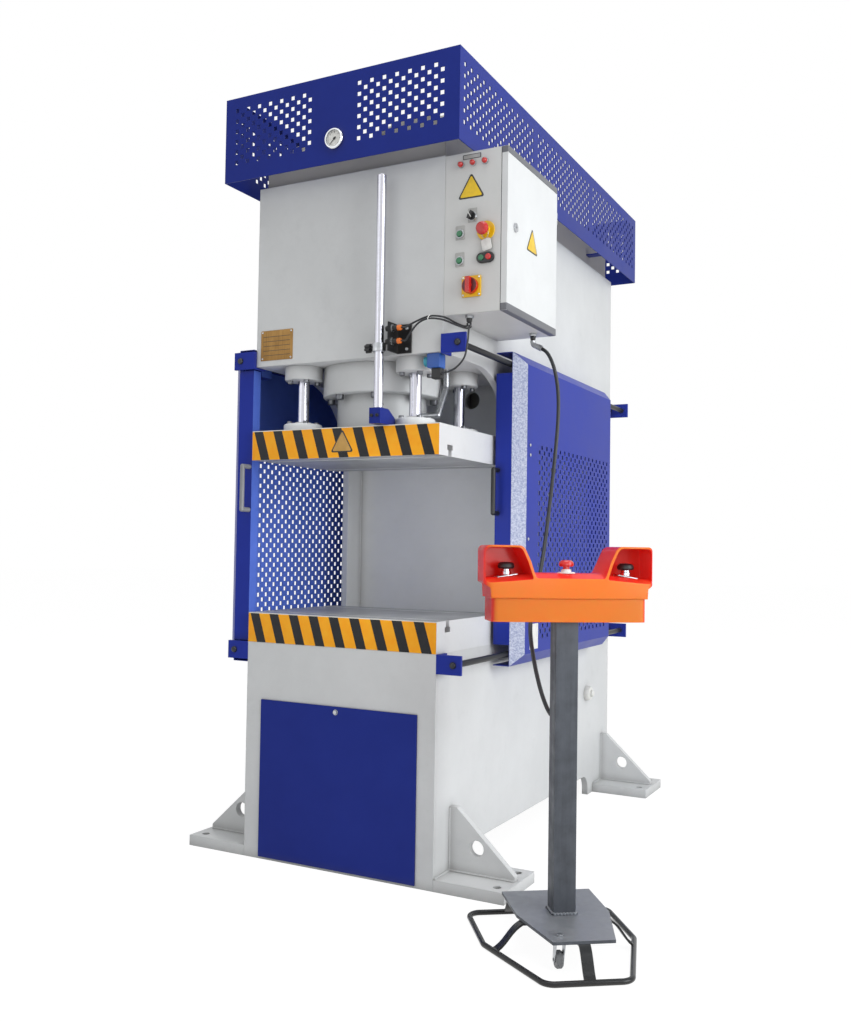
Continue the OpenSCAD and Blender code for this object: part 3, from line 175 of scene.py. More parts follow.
def sprayed(name, base, shade, rough, peel_mm, soil_and_shade, coat=0.0, low_dirt=0.0, shine=0.2, edge_mm=2.0):
    """Sprayed paint: cloudy tone, patchy soiling, painted shade in corners, orange peel of peel_mm, soft
    plate edges.
    Real peel is about 1 mm across; it is drawn at 2 to 5 mm, so that it shows."""
    m, t, body, place = blank(name)
    cloud = add(t, "TexNoise", {"Vector": place, "Scale": 2.6, "Detail": 6.0, "Roughness": 0.62})
    paint = between(t, cloud.outputs["Fac"], 0.35, 0.65, shade, base)
    smudge = add(t, "TexNoise", {"Vector": place, "Scale": 11.0, "Detail": 9.0, "Roughness": 0.7})
    grime = add(t, "MapRange",
                {"Value": smudge.outputs["Fac"], "From Min": 0.56, "From Max": 0.74, "To Max": soil_and_shade})
    # Painted shade: occlusion darkens the paint in corners, creases and joins, on top of the patchy grime
    corner = add(t, "AmbientOcclusion", {"Distance": 0.035}, samples=6)
    dark = add(t, "MapRange",
               {"Value": corner.outputs["AO"], "From Min": 0.95, "From Max": 0.45, "To Max": 0.30 + soil_and_shade})
    grime_and_shade = add(t, "Math", {0: grime.outputs[0], 1: dark.outputs[0]}, operation="MAXIMUM")
    if low_dirt:
        high = add(t, "SeparateXYZ", {0: place})
        near = add(t, "MapRange",
                   {"Value": high.outputs["Z"], "From Min": 0.30, "From Max": 0.0, "To Max": low_dirt})
        near = add(t, "Math", {0: near.outputs[0], 1: smudge.outputs["Fac"]}, operation="MULTIPLY")
        grime_and_shade = add(t, "Math", {0: grime_and_shade.outputs[0], 1: near.outputs[0]}, operation="ADD")
    paint = add(t, "Mix", {0: grime_and_shade.outputs[0], 6: paint, 7: colour("#4d4a45")}, data_type="RGBA")
    gloss = add(t, "MapRange", {"Value": cloud.outputs["Fac"], "From Min": 0.3, "From Max": 0.7,
                                "To Min": rough * 0.8, "To Max": rough * 1.2})
    peel = add(t, "TexNoise", {"Vector": place, "Scale": 1000 / peel_mm, "Detail": 2.0})
    bump = relief(t, peel.outputs["Fac"], 0.10, 0.0006, edge_mm / 1000, 6)
    put_in(t, body, {"Base Color": paint.outputs[2], "Roughness": gloss.outputs[0], "Normal": bump,
                     "IOR": 1.5, "Specular IOR Level": shine, "Coat Weight": coat, "Coat Roughness": 0.12})
    return m


def dress(material, *names):
    """Gives CAD nodes their finish."""
    for n in names:
        nodes[n].data.materials.clear()
        nodes[n].data.materials.append(material)


# Satin enamel: an even pale grey with faint clouds, with painted shade in the corners and darker near the
# floor.
# The throat's copy of the enamel is painted lighter, as painted light in the shaded throat, and flatter.
frame_enamel = sprayed("warm grey enamel on steel plate", "#dcdddd", "#d2d3d3", 0.38, 5.0, 0.06, 0.05, 0.10,
                       0.2, 5.0)
throat_lit_enamel = sprayed("frame enamel painted lighter in the throat", "#eceded", "#e4e5e5", 0.45, 5.0, 0.04)
dress(frame_enamel, "left_side_plate", "right_side_plate", "head_front_plate", "head_bottom_plate",
      "rear_plate", "base_front_plate", "anchor_feet", "cylinder_body", "guide_bushes")
dress(throat_lit_enamel, "throat_back_plate")


anchor_y = 870.0


def moved(points):
    """Millimetres from the base front to metres about the anchor holes."""
    return (np.asarray(points, float) - [0, anchor_y, 0]) / 1000


def at(x, y, z):
    """One place, moved to the anchor holes."""
    return moved([x, y, z])


def tube(path, radius, sides=16, ends=True):
    """A circle carried along a path; each ring's frame is the last one turned by the least angle.
    radius is one number or one for each point."""
    p = np.asarray(path, float)
    f = np.gradient(p, axis=0)
    f /= np.linalg.norm(f, axis=1)[:, None]
    a = np.cross(f[0], [0.0, 0.0, 1.0] if abs(f[0][2]) < 0.9 else [1.0, 0.0, 0.0])
    rows = []
    for d in f:
        a = a - d * (a @ d)
        a = a / np.linalg.norm(a)
        rows.append((a, np.cross(d, a)))
    rows = np.array(rows)
    w = np.linspace(0, 2 * np.pi, sides, endpoint=False)
    r = np.broadcast_to(radius, (len(p),))[:, None, None]
    ring = rows[:, 0][:, None] * np.cos(w)[None, :, None] + rows[:, 1][:, None] * np.sin(w)[None, :, None]
    v = (p[:, None] + r * ring).reshape(-1, 3)
    q = quads(len(p), sides)
    if ends:
        q = q + [list(range(sides))[::-1], list(range(len(v) - sides, len(v)))]
    return v, q


def quads(rings, sides):
    """The faces between rings of equal count, closed round each ring."""
    i, k = np.meshgrid(np.arange(rings - 1), np.arange(sides), indexing="ij")
    n = (k + 1) % sides
    low, high = i * sides, (i + 1) * sides
    return np.stack([low + k, low + n, high + n, high + k], -1).reshape(-1, 4).tolist()


def lathe(profile, place, axis, sides=40):
    """A profile of radius and height turned about an axis; a radius of 0 closes as a pole."""
    prof = np.asarray(profile, float)
    z = np.asarray(axis, float) / np.linalg.norm(axis)
    x = np.cross(z, [0.0, 0.0, 1.0] if abs(z[2]) < 0.9 else [1.0, 0.0, 0.0])
    x /= np.linalg.norm(x)
    y = np.cross(z, x)
    w = np.linspace(0, 2 * np.pi, sides, endpoint=False)
    ring = x * np.cos(w)[:, None] + y * np.sin(w)[:, None]
    v = np.asarray(place) + (prof[:, 0, None, None] * ring + prof[:, 1, None, None] * z) / 1000
    return v.reshape(-1, 3), quads(len(prof), sides)


def rounded_outline(w, h, r, n=6):
    """A rectangle w by h with corner arcs of radius r, as a closed row of points."""
    a = (np.arange(4)[:, None] * 90 + np.linspace(0, 90, n)[None]).ravel() * np.pi / 180
    sx = np.repeat([1, -1, -1, 1], n)
    sy = np.repeat([1, 1, -1, -1], n)
    return np.stack([sx * (w / 2 - r) + r * np.cos(a), sy * (h / 2 - r) + r * np.sin(a)], -1)


def plate(place, across, up, w, h, t, r=2.0, edge=0.8, outline=None):
    """A flat plate: its outline carried from back to front, drawn in by a quarter-round edge.
    place is the middle of its back, across and up span it, t is its thickness in mm."""
    x, y = np.asarray(across, float), np.asarray(up, float)
    x, y = x / np.linalg.norm(x), y / np.linalg.norm(y)
    z = np.cross(x, y)
    e = np.linspace(0, np.pi / 2, 4)
    steps = [(0.0, 0.0)] + [(edge * (1 - np.cos(k)), t - edge + edge * np.sin(k)) for k in e]
    base = rounded_outline(w, h, max(r, edge + 0.01)) if outline is None else np.asarray(outline, float)
    half = np.abs(base).max(0)
    rings = []
    for inset, depth in steps:
        s = base * (1 - inset / half)
        rings.append(np.asarray(place) + (s[:, 0, None] * x + s[:, 1, None] * y + depth * z) / 1000)
    n = len(base)
    v = np.concatenate(rings)
    return v, quads(len(rings), n) + [list(range(n))[::-1], list(range(len(v) - n, len(v)))]


def make(name, shapes, material, body, stands_for=(), sharp=35.0):
    """Joins worked-out shapes to one piece, with faces outward, and puts it on its body."""
    verts, faces, base = [], [], 0
    for v, q in shapes:
        verts.append(v)
        faces += [[i + base for i in face] for face in q]
        base += len(v)
    me = bpy.data.meshes.new(name)
    me.from_pydata(np.concatenate(verts).tolist(), [], faces)
    bm = bmesh.new()
    bm.from_mesh(me)
    bmesh.ops.remove_doubles(bm, verts=bm.verts, dist=1e-6)
    bmesh.ops.recalc_face_normals(bm, faces=bm.faces)
    bm.to_mesh(me)
    bm.free()
    me.shade_smooth()
    me.set_sharp_from_angle(angle=np.radians(sharp))
    me.materials.append(material)
    ob = bpy.data.objects.new(name, me)
    scene.collection.objects.link(ob)
    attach(ob, body)
    if stands_for:
        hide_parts(*stands_for)
    return ob


def bead(points, width):
    """A fillet weld: a thin tube whose radius swells with each ripple. Real ripples are about 3 mm
    apart; they are drawn at 9 mm, so that they show."""
    p = np.asarray(points, float)
    length = np.linalg.norm(np.diff(p, axis=0), axis=1).sum()
    s = np.linspace(0, 1, max(12, int(length / 0.003)))
    c = np.concatenate([[0], np.cumsum(np.linalg.norm(np.diff(p, axis=0), axis=1))]) / length
    path = np.stack([np.interp(s, c, p[:, k]) for k in range(3)], -1)
    return tube(path, width / 1000 * (1 + 0.16 * np.sin(s * length / 0.009 * 2 * np.pi)), 8)


welds = []
for side in (-1, 1):
    for y0 in (0, 1500):
        yc = y0 + 120
        for dy in (-12.5, 12.5):
            welds.append(bead([at(side * 361, yc + dy, 37), at(side * 582, yc + dy, 37)], 4.0))
            welds.append(bead([at(side * 361, yc + dy, 38), at(side * 361, yc + dy, 232)], 4.0))
        welds.append(bead([at(side * 361, y0 + 6, 36), at(side * 361, y0 + 234, 36)], 4.5))
    welds.append(bead([at(side * 336, 676, 826), at(side * 336, 676, 1650)], 5.0))
make("painted_weld_seams", welds, frame_enamel, "frame")

# Powder coat: a warmer, smoother white than the frame round it
white_cap = sprayed("white powder-coated cap", "#ecebe6", "#e2e1dc", 0.30, 3.0, 0.04)
make("oil_level_cap", [lathe([(0, 0), (30, 0), (30, 16), (27, 22), (14, 24), (14, 30), (11, 34), (0, 35)],
                             at(360, 1406, 437), (1, 0, 0))],
     white_cap, "frame")

# Access panel: a 4 mm sheet over the opening in the base, powder-coated deep blue like the hood
# and guards, held by one screw at the top and hooked behind the plate below.
# Semi-gloss powder coat: a deep even blue with a soft sheen, a shade lighter on the guards
hood_blue = sprayed("deep blue powder coat", "#26358c", "#223084", 0.36, 2.5, 0.02, 0.0, 0.0, 0.08)
guard_blue = sprayed("royal blue powder coat", "#2a3a9e", "#263596", 0.34, 2.5, 0.02, 0.0, 0.0, 0.08)
dress(hood_blue, "access_panel", "hood_side_panels", "hood_end_panels", "rod_clamp")
dress(guard_blue, "guard_brackets")


def bare_metal(name, base, shade, rough, grain, metallic=1.0):
    """Bare metal: tone and gloss drift along its grain, given as scales in X, Y and Z per metre.
    Real grinding lines are finer than 0.1 mm; they are drawn coarser, so that they show."""
    m, t, body, place = blank(name)
    lay = add(t, "Mapping", {"Vector": place, "Scale": grain})
    line = add(t, "TexNoise", {"Vector": lay.outputs[0], "Scale": 1.0, "Detail": 5.0, "Roughness": 0.65})
    stain = add(t, "TexNoise", {"Vector": place, "Scale": 24.0, "Detail": 6.0, "Roughness": 0.6})
    both = add(t, "Math", {0: line.outputs["Fac"], 1: stain.outputs["Fac"]}, operation="ADD")
    tint = between(t, both.outputs[0], 0.75, 1.25, shade, base)
    gloss = add(t, "MapRange", {"Value": both.outputs[0], "From Min": 0.7, "From Max": 1.3,
                                "To Min": rough * 1.35, "To Max": rough * 0.7})
    bump = relief(t, line.outputs["Fac"], 0.06, 0.0004, 0.0008, 4)
    put_in(t, body, {"Base Color": tint, "Roughness": gloss.outputs[0], "Normal": bump, "Metallic": metallic})
    return m


# Plated or blacked small steel parts: bright grey, dark grey and mid grey, each lightly clouded
zinc_steel = bare_metal("zinc-plated steel", "#c9cbce", "#a4a7ab", 0.30, (60, 60, 60))
black_steel = bare_metal("blackened steel", "#4a4b4e", "#35363a", 0.42, (60, 60, 60))
grey_steel = bare_metal("phosphated steel", "#85878b", "#66686c", 0.38, (60, 60, 60))


def socket_screw(place, axis, d, h):
    """A socket head: a turned rim, a chamfer and a sunk well, with a knurl too fine to model."""
    r = d / 2
    return lathe([(0, 0), (r, 0), (r, h * 0.85), (r * 0.88, h), (r * 0.52, h), (r * 0.5, h * 0.35),
                  (0, h * 0.3)], place, axis, 20)


def hex_screw(place, axis, d, h):
    """A hexagon head: six flats turned up from a washer face, with a chamfered crown."""
    v, q = lathe([(0, 0), (d * 0.68, 0), (d * 0.68, 1.5), (d * 0.56, 1.5)], place, axis, 24)
    w, p = lathe([(d * 0.56, 1.0), (d * 0.56, h * 0.8), (d * 0.5, h), (0, h)], place, axis, 6)
    return np.concatenate([v, w]), q + [[i + len(v) for i in f] for f in p]


make("panel_screw", [hex_screw(at(0, -4, 512), (0, -1, 0), 13, 6)], zinc_steel, "frame")

# Platens: planed steel slabs with T-slots. The edges are painted white, the working faces are
# bare and oiled, and a striped hazard strip is stuck along each front edge.


def lay_over(t, body, share, tint):
    """Lays a second colour over a finish's own one, by a share from 0 to 1."""
    own = body.inputs["Base Color"].links[0].from_socket
    skin = add(t, "Mix", {0: share, 6: own, 7: tint}, data_type="RGBA")
    put_in(t, body, {"Base Color": skin.outputs[2]})


def planed_slab(name, top):
    """White paint on the slab's edges, bare planed steel on faces turned straight up or down.
    Real planing lines are about 0.5 mm apart; they are drawn at 2 mm, so that they show."""
    m = sprayed(name, "#e4e5e6", "#dadbdc", 0.36, 5.0, 0.06, 0.1)
    t = m.node_tree
    body = t.nodes["Principled BSDF"]
    normal = add(t, "NewGeometry").outputs["True Normal"]
    facing = add(t, "SeparateXYZ", {0: normal})
    flat = add(t, "Math", {0: facing.outputs["Z"], 1: 0.5 * top},
               operation="GREATER_THAN" if top > 0 else "LESS_THAN")
    place = add(t, "TexCoord").outputs["Object"]
    lay = add(t, "Mapping", {"Vector": place, "Scale": (4, 500, 20)})
    tool = add(t, "TexNoise", {"Vector": lay.outputs[0], "Scale": 1.0, "Detail": 3.0})
    oil = add(t, "TexNoise", {"Vector": place, "Scale": 7.0, "Detail": 7.0})
    both = add(t, "Math", {0: tool.outputs["Fac"], 1: oil.outputs["Fac"]}, operation="MULTIPLY")
    steel = between(t, both.outputs[0], 0.12, 0.38, "#8b8c8e", "#b4b5b6")
    lay_over(t, body, flat.outputs[0], steel)
    metal = add(t, "Math", {0: flat.outputs[0], 1: 0.35}, operation="MULTIPLY")
    put_in(t, body, {"Metallic": metal.outputs[0]})
    return m


# Planed steel under oil: fine lines across the slab and cloudy stains, between white painted edges
dress(planed_slab("painted slab with planed top", 1.0), "lower_platen")
dress(planed_slab("painted slab with planed underside", -1.0), "upper_platen")


def hazard_film(name, top_z):
    """Slanted stripes, counted along the width and shifted with the depth below a thin bare rim:
    a stripe is black while the count's fraction is below its black share."""
    pitch_m, lean_share, start, black_share, rim_m = 0.079, -0.31, 20.47, 0.46, 0.0025
    m, t, body, place = blank(name)
    xyz = add(t, "SeparateXYZ", {0: place})
    down = add(t, "Math", {0: top_z, 1: xyz.outputs["Z"]}, operation="SUBTRACT")
    lean = add(t, "Math", {0: down.outputs[0], 1: lean_share, 2: xyz.outputs["X"]}, operation="MULTIPLY_ADD")
    count = add(t, "Math", {0: lean.outputs[0], 1: 1 / pitch_m, 2: start}, operation="MULTIPLY_ADD")
    share = add(t, "Math", {0: count.outputs[0]}, operation="FRACT")
    black = add(t, "Math", {0: share.outputs[0], 1: black_share}, operation="LESS_THAN")
    fade = add(t, "TexNoise", {"Vector": place, "Scale": 30.0, "Detail": 6.0})
    yellow = between(t, fade.outputs["Fac"], 0.3, 0.7, "#ffa60e", "#ffb423")
    ink = between(t, fade.outputs["Fac"], 0.3, 0.7, "#141417", "#202024")
    film = add(t, "Mix", {0: black.outputs[0], 6: yellow, 7: ink}, data_type="RGBA")
    rim = add(t, "Math", {0: down.outputs[0], 1: rim_m}, operation="LESS_THAN")
    film = add(t, "Mix", {0: rim.outputs[0], 6: film.outputs[2], 7: colour("#e9e6dc")}, data_type="RGBA")
    gloss = add(t, "MapRange", {"Value": fade.outputs["Fac"], "To Min": 0.32, "To Max": 0.5})
    put_in(t, body, {"Base Color": film.outputs[2], "Roughness": gloss.outputs[0], "Specular IOR Level": 0.3})
    return m


# Printed film: amber and black bands with a soft gloss and a slight fade from handling
front_face = ((1, 0, 0), (0, 0, 1))
make("lower_hazard_strip", [plate(at(0, 0, 770), *front_face, 719, 99, 0.6, 1.0, 0.3)],
     hazard_film("printed hazard film below", 0.8195), "frame")
make("upper_hazard_strip", [plate(at(0, 0, 1387), *front_face, 719, 99, 0.6, 1.0, 0.3)],
     hazard_film("printed hazard film above", 1.4365), "ram")


def triangle_outline(side, r=5.0):
    """An upright triangle about its middle, each corner an arc of radius r."""
    a = np.radians([90, 210, 330])
    far = side / np.sqrt(3) - 2 * r
    arcs = np.linspace(-60, 60, 6)[None] + np.degrees(a)[:, None]
    mid = np.stack([np.cos(a), np.sin(a)], -1) * far
    pts = mid[:, None] + r * np.stack([np.cos(np.radians(arcs)), np.sin(np.radians(arcs))], -1)
    return pts.reshape(-1, 2)


def printed(name, base, rough=0.35):
    """Printed film: one ink with a faint mottle from handling."""
    m, t, body, place = blank(name)
    rub = add(t, "TexNoise", {"Vector": place, "Scale": 60.0, "Detail": 5.0})
    dim = add(t, "MapRange", {"Value": rub.outputs["Fac"], "From Min": 0.35, "From Max": 0.65,
                              "To Min": 0.86, "To Max": 1.0})
    ink = add(t, "Mix", {0: dim.outputs[0], 6: (0.02, 0.02, 0.02, 1), 7: colour(base)}, data_type="RGBA")
    put_in(t, body, {"Base Color": ink.outputs[2], "Roughness": rough})
    return m


# Satin films in flat even colours: signal yellow, tan, near-black and off-white
yellow_film = printed("yellow printed film", "#f2c81d")
tan_film = printed("tan printed film", "#c79a4e")
black_film = printed("black printed film", "#1b1b1d")
white_film = printed("white printed film", "#ecebe7")


def bare_triangle(name, place, across, up, side, inner, body):
    """A bare triangular plate: a black margin with a plain field, nothing drawn on it."""
    x, y = np.asarray(across, float), np.asarray(up, float)
    out = np.cross(x, y)
    make(name + "_margin", [plate(place, x, y, 0, 0, 0.8, 0, 0.3, triangle_outline(side))], black_film, body)
    make(name + "_field", [plate(np.asarray(place) + out * 0.0006, x, y, 0, 0, 0.6, 0, 0.2,
                                 triangle_outline(side * 0.84, 3.5))], inner, body)


bare_triangle("platen_triangle", at(4, -0.6, 1380), *front_face, 88, tan_film, "ram")

# Cylinder and guide: a turned flange and nose hang from the head, with the chromed rod inside.
# Four chromed columns run in flanged bushes, each flange held by four socket screws.
# Ground and hard-chromed: a mirror whose fine rings spread each reflection along the column
chrome = bare_metal("hard-chromed ground steel", "#d0d0da", "#c8c8d0", 0.20, (3, 3, 1500))
dress(chrome, "piston_rod", "guide_columns", "position_rod")
dress(zinc_steel, "trip_collar", "hydraulic_pipe")
nose_x, nose_y = 0, 260
columns = [(x, y) for x in (-220, 220) for y in (98, 422)]
quarter_turns = np.radians([45, 135, 225, 315])
screws = [socket_screw(at(nose_x + 180 * np.cos(a), nose_y + 180 * np.sin(a), 1560), (0, 0, -1), 27, 17)
          for a in np.radians(np.arange(8) * 45 + 22.5)]
screws += [socket_screw(at(x + 47 * np.cos(a), y + 47 * np.sin(a), 1614), (0, 0, -1), 18, 11)
           for x, y in columns for a in quarter_turns]
make("flange_screws", screws, grey_steel, "frame")
screws = [socket_screw(at(x + 47 * np.cos(a), y + 47 * np.sin(a), 1463), (0, 0, 1), 18, 11)
          for x, y in columns for a in quarter_turns]
make("column_foot_screws", screws, grey_steel, "ram")
foot_profile = [(20.3, 0), (66.0, 0), (66.0, 22.5), (63.0, 26.3), (31, 26.3), (28, 34), (20.3, 34)]
flanges = [lathe(foot_profile, at(x, y, 1437.2), (0, 0, 1), 64) for x, y in columns]
# Fresh white enamel on turned steel: clean and bright against the grey frame
flange_white = sprayed("white enamel on turned flange", "#fafbfb", "#f4f5f5", 0.32, 5.0, 0.03)
make("column_foot_flanges", flanges, flange_white, "ram")
# The port hole is a shallow black film disc on the nose: painted shade for the hole
port_out = np.array([np.sin(np.pi / 6), -np.cos(np.pi / 6), 0])
port = lathe([(0, 0.3), (4.6, 0.3), (5.6, 0.0), (5.6, -1.5)],
             at(nose_x + 155 * port_out[0], nose_y + 155 * port_out[1], 1524), port_out, 24)
make("nose_port_shade", [port], black_film, "frame")

# Position sensing: a chromed rod clamped to the moving platen carries a trip collar past two
# barrel sensors on a black angle bracket. A pressure switch hangs under the head beside it.


def moulded(name, base, shade, rough, grain_mm, coat=0.0, edge_mm=1.0):
    """Moulded plastic: a spark-eroded grain of grain_mm, faint flow clouds, soft edges.
    The real grain is about 0.1 mm; it is drawn at 1 to 5 mm, so that it shows."""
    m, t, body, place = blank(name)
    flow = add(t, "TexNoise", {"Vector": place, "Scale": 9.0, "Detail": 5.0, "Roughness": 0.6})
    tint = between(t, flow.outputs["Fac"], 0.35, 0.65, shade, base)
    gloss = add(t, "MapRange", {"Value": flow.outputs["Fac"], "From Min": 0.3, "From Max": 0.7,
                                "To Min": rough * 0.8, "To Max": rough * 1.2})
    grain = add(t, "TexNoise", {"Vector": place, "Scale": 1000 / grain_mm, "Detail": 2.0})
    bump = relief(t, grain.outputs["Fac"], 0.07, 0.0004, edge_mm / 1000, 6)
    put_in(t, body, {"Base Color": tint, "Roughness": gloss.outputs[0], "Normal": bump,
                     "Coat Weight": coat, "Coat Roughness": 0.08})
    return m


# Nylon and powder coat: flat blacks that catch a broad dull highlight. The sensor caps and the
# switch are brighter plastics with a satin gloss.
black_nylon = moulded("black glass-filled nylon", "#1d1d1f", "#151517", 0.42, 1.2)
black_coat = sprayed("black powder coat", "#1f2023", "#17181a", 0.38, 2.0, 0.05)
orange_cap = moulded("orange sensor cap", "#ee7a1e", "#df6c14", 0.3, 1.0, 0.2)
switch_blue = moulded("blue polyamide", "#2a5fb4", "#2556a6", 0.35, 1.2)
switch_teal = moulded("teal polyamide", "#3aa3b8", "#3294a8", 0.35, 1.2)
dress(black_nylon, "collar_knob")
dress(black_coat, "sensor_bracket")
barrels, nuts, caps = [], [], []
for z in (1696, 1738):
    s = np.arange(24)
    thread = np.stack([np.tile([8.4, 9.0], 24), np.repeat(3 + s * 1.6, 2) + np.tile([0.0, 0.8], 24)], -1)
    barrels.append(lathe(np.concatenate([[(0, 0), (8.2, 0), (8.2, 3)], thread, [(8.4, 42), (0, 42)]]),
                         at(181, -30, z), (1, 0, 0), 32))
    for x in (193, 202):
        nuts.append(lathe([(9.02, 0), (12.9, 0.0), (13.0, 0.6), (13.0, 3.4), (12.9, 4), (9.02, 4),
                           (9.02, 0)], at(x, -30, z), (1, 0, 0), 6))
    caps.append(lathe([(0, 42), (9.0, 42), (9.0, 50), (8.0, 53.5), (4.6, 54), (0, 54)], at(181, -30, z),
                      (1, 0, 0), 32))
make("sensor_barrels", barrels, black_nylon, "frame", ("end_sensors",))
make("sensor_nuts", nuts, zinc_steel, "frame")
make("sensor_caps", caps, orange_cap, "frame")
right_face = ((0, 1, 0), (0, 0, 1))
make("switch_body", [plate(at(322.5, 62, 1637), (1, 0, 0), (0, 0, 1), 45, 46, 40, 4, 2)], switch_blue,
     "frame", ("pressure_switch",))
make("switch_ring", [lathe([(0, 0), (14, 0), (16, 2), (16, 15), (12, 16.5), (12, 14), (0, 14)],
                           at(300.5, 42, 1637), (-1, 0, 0), 32)], switch_teal, "frame")
make("switch_plug", [plate(at(328.5, 54, 1597), (1, 0, 0), (0, 0, 1), 33, 34, 24, 4, 2)], black_nylon,
     "frame")
screws = [socket_screw(at(x, -52, 1462), (0, -1, 0), 10, 6) for x in (146, 166)]
screws.append(socket_screw(at(156, 18, 1483), (0, -0.3, 1), 13, 8))
make("rod_clamp_screws", screws, black_steel, "ram")
screws = [socket_screw(at(236, 9, z), (0, -1, 0), 10, 6) for z in (1676, 1742)]
make("bracket_screws", screws, zinc_steel, "frame")

# Head plate: a thin brass data plate on the head, left bare but for ruled lines, held by rivets.
# Etched brass: a dull gold with stains along the sheet
brass = bare_metal("etched brass sheet", "#9e7840", "#866434", 0.42, (300, 60, 8), 0.6)
make("brass_plate", [plate(at(-276, 14, 1731), *front_face, 132, 103, 1.5, 3, 0.5)], brass, "frame")
rules = [plate(at(-276, 12.6, 1731 + dz), *front_face, 112, 1.6, 0.3, 0.5, 0.1)
         for dz in (30, 14, -2, -18, -34)]
make("brass_plate_rules", rules, black_film, "frame")
make("brass_plate_rivets", [lathe([(0, 3.2), (1.8, 2.8), (3.0, 1.6), (3.4, 0)],
                                  at(-276 + sx * 59, 12.6, 1731 + sz * 45), (0, -1, 0), 16)
                            for sx in (-1, 1) for sz in (-1, 1)], zinc_steel, "frame")

# Hood: four punched 3 mm sheets round the power unit, folded in along the top and joined at the
# corners. A pressure gauge with a chromed bezel looks out of the front.
# Chromed bezel, a matt white dial and a clear window, which shows only as a faint gloss
bezel_chrome = bare_metal("chromed steel bezel", "#d9dadc", "#c4c6c9", 0.16, (60, 60, 60))
dress(bezel_chrome, "pressure_gauge")
dress(black_film, "gauge_needle")
dial_white = printed("white enamelled dial", "#f2f1ec", 0.4)
make("gauge_dial", [lathe([(0, 0.25), (27.6, 0.25), (27.6, 0.0), (0, 0.0)], at(0, -74, 2364), (0, -1, 0),
                          64)], dial_white, "frame")
marks = []
for k in range(31):
    w = np.radians(225 - 9 * k)
    wide, long = (1.5, 7.0) if k % 5 == 0 else (0.9, 3.5)
    out, round_ = np.array([np.cos(w), 0, np.sin(w)]), np.array([-np.sin(w), 0, np.cos(w)])
    marks.append(plate(at(*(out * (26 - long / 2) + [0, -74.25, 2364])), round_, out, wide, long, 0.15, 0.2,
                       0.05))
make("gauge_marks", marks, black_film, "frame")
gauge_glass, t, shell, _ = blank("flat gauge glass")
put_in(t, shell, {"Transmission Weight": 1.0, "Roughness": 0.02, "IOR": 1.05, "Alpha": 0.15})
make("gauge_window", [lathe([(0, 0.6), (27.8, 0.6), (27.8, 0.0), (0, 0.0)], at(0, -79.6, 2364), (0, -1, 0),
                            64)], gauge_glass, "frame")

# Power unit: a welded oil tank on the side plates with a valve block, and a foot-mounted motor
# that drives the pump through a bell housing. It shows through the holes and the open top of the
# hood. The enamel is a plain warm grey.
tank_grey = sprayed("machine grey enamel", "#c4c1ba", "#b9b6b0", 0.36, 4.0, 0.06, 0.1)
dress(tank_grey, "oil_tank", "pump_motor")

# Guards: folded pans of 3 mm sheet, punched, on two rods each side. The rods are held between
# folded brackets by one domed screw at each end, and a bow handle is on each front wall.


def painted_light_side(name, bright, shade, speckle, facing, limit):
    """Blue powder coat with painted light on one side: faces whose normal leans along facing by more
    than limit show two painted tones of light, mixed by a grain of speckle mm."""
    m = sprayed(name, "#2a3a9e", "#263596", 0.34, 2.5, 0.02, 0.0, 0.0, 0.08)
    t = m.node_tree
    normal = add(t, "NewGeometry").outputs["True Normal"]
    lean = add(t, "VectorMath", {0: normal, 1: facing}, operation="DOT_PRODUCT")
    side = add(t, "Math", {0: lean.outputs["Value"], 1: limit}, operation="GREATER_THAN")
    place = add(t, "TexCoord").outputs["Object"]
    cells = add(t, "TexNoise", {"Vector": place, "Scale": 1000 / speckle, "Detail": 3.0, "Roughness": 0.7})
    painted_tones = between(t, cells.outputs["Fac"], 0.40, 0.60, shade, bright)
    lay_over(t, t.nodes["Principled BSDF"], side.outputs[0], painted_tones)
    return m


# Royal blue coat: the right guard's front bevel carries a painted reflection, pale and speckled,
# and the left guard's inside is painted a lighter blue, as painted light from the right
bevel_dir, inside_dir = (0.707, -0.707, 0.0), (1.0, 0.0, 0.0)
dress(painted_light_side("blue powder coat with painted reflection on the bevel", "#c8cddd", "#98a0c0", 6.0, bevel_dir, 0.97),
      "right_guard")
dress(painted_light_side("blue powder coat painted lighter inside", "#5a76d4", "#5470cc", 200.0, inside_dir, 0.9),
      "left_guard")
dress(black_coat, "guard_rods")
dress(black_nylon, "right_guard_handle")
# The same nylon as the black handle, with its highlight painted in as a mid grey
painted_highlight_nylon = moulded("black nylon painted grey as a highlight", "#8d8e92", "#808186", 0.40, 1.2)
dress(painted_highlight_nylon, "left_guard_handle")
make("guard_panel_screws", [lathe([(0, 2.6), (3.2, 2.2), (5.2, 1.0), (5.6, 0)], at(474, y, z), (1, 0, 0),
                                  20) for y, z in ((466, 1407), (468, 1373), (457, 1083))],
     zinc_steel, "right_guard")
rod_screws = []
for sx in (-1, 1):
    for z in (690, 1683):
        for y, out in ((0, -1), (1700, 1)):
            rod_screws.append(lathe([(0, 9), (5, 8.4), (9, 6), (10.5, 3), (10.5, 0)], at(sx * 418, y, z),
                                    (0, out, 0), 24))
            rod_screws.append(socket_screw(at(sx * 368, 30 if y == 0 else 1670, z), (sx, 0, 0), 16, 8))
make("rod_screws", rod_screws, black_steel, "frame")
make("guard_plain_label", [plate(at(472, 521, 746), *right_face, 77, 88, 0.5, 2, 0.2)], white_film,
     "right_guard")

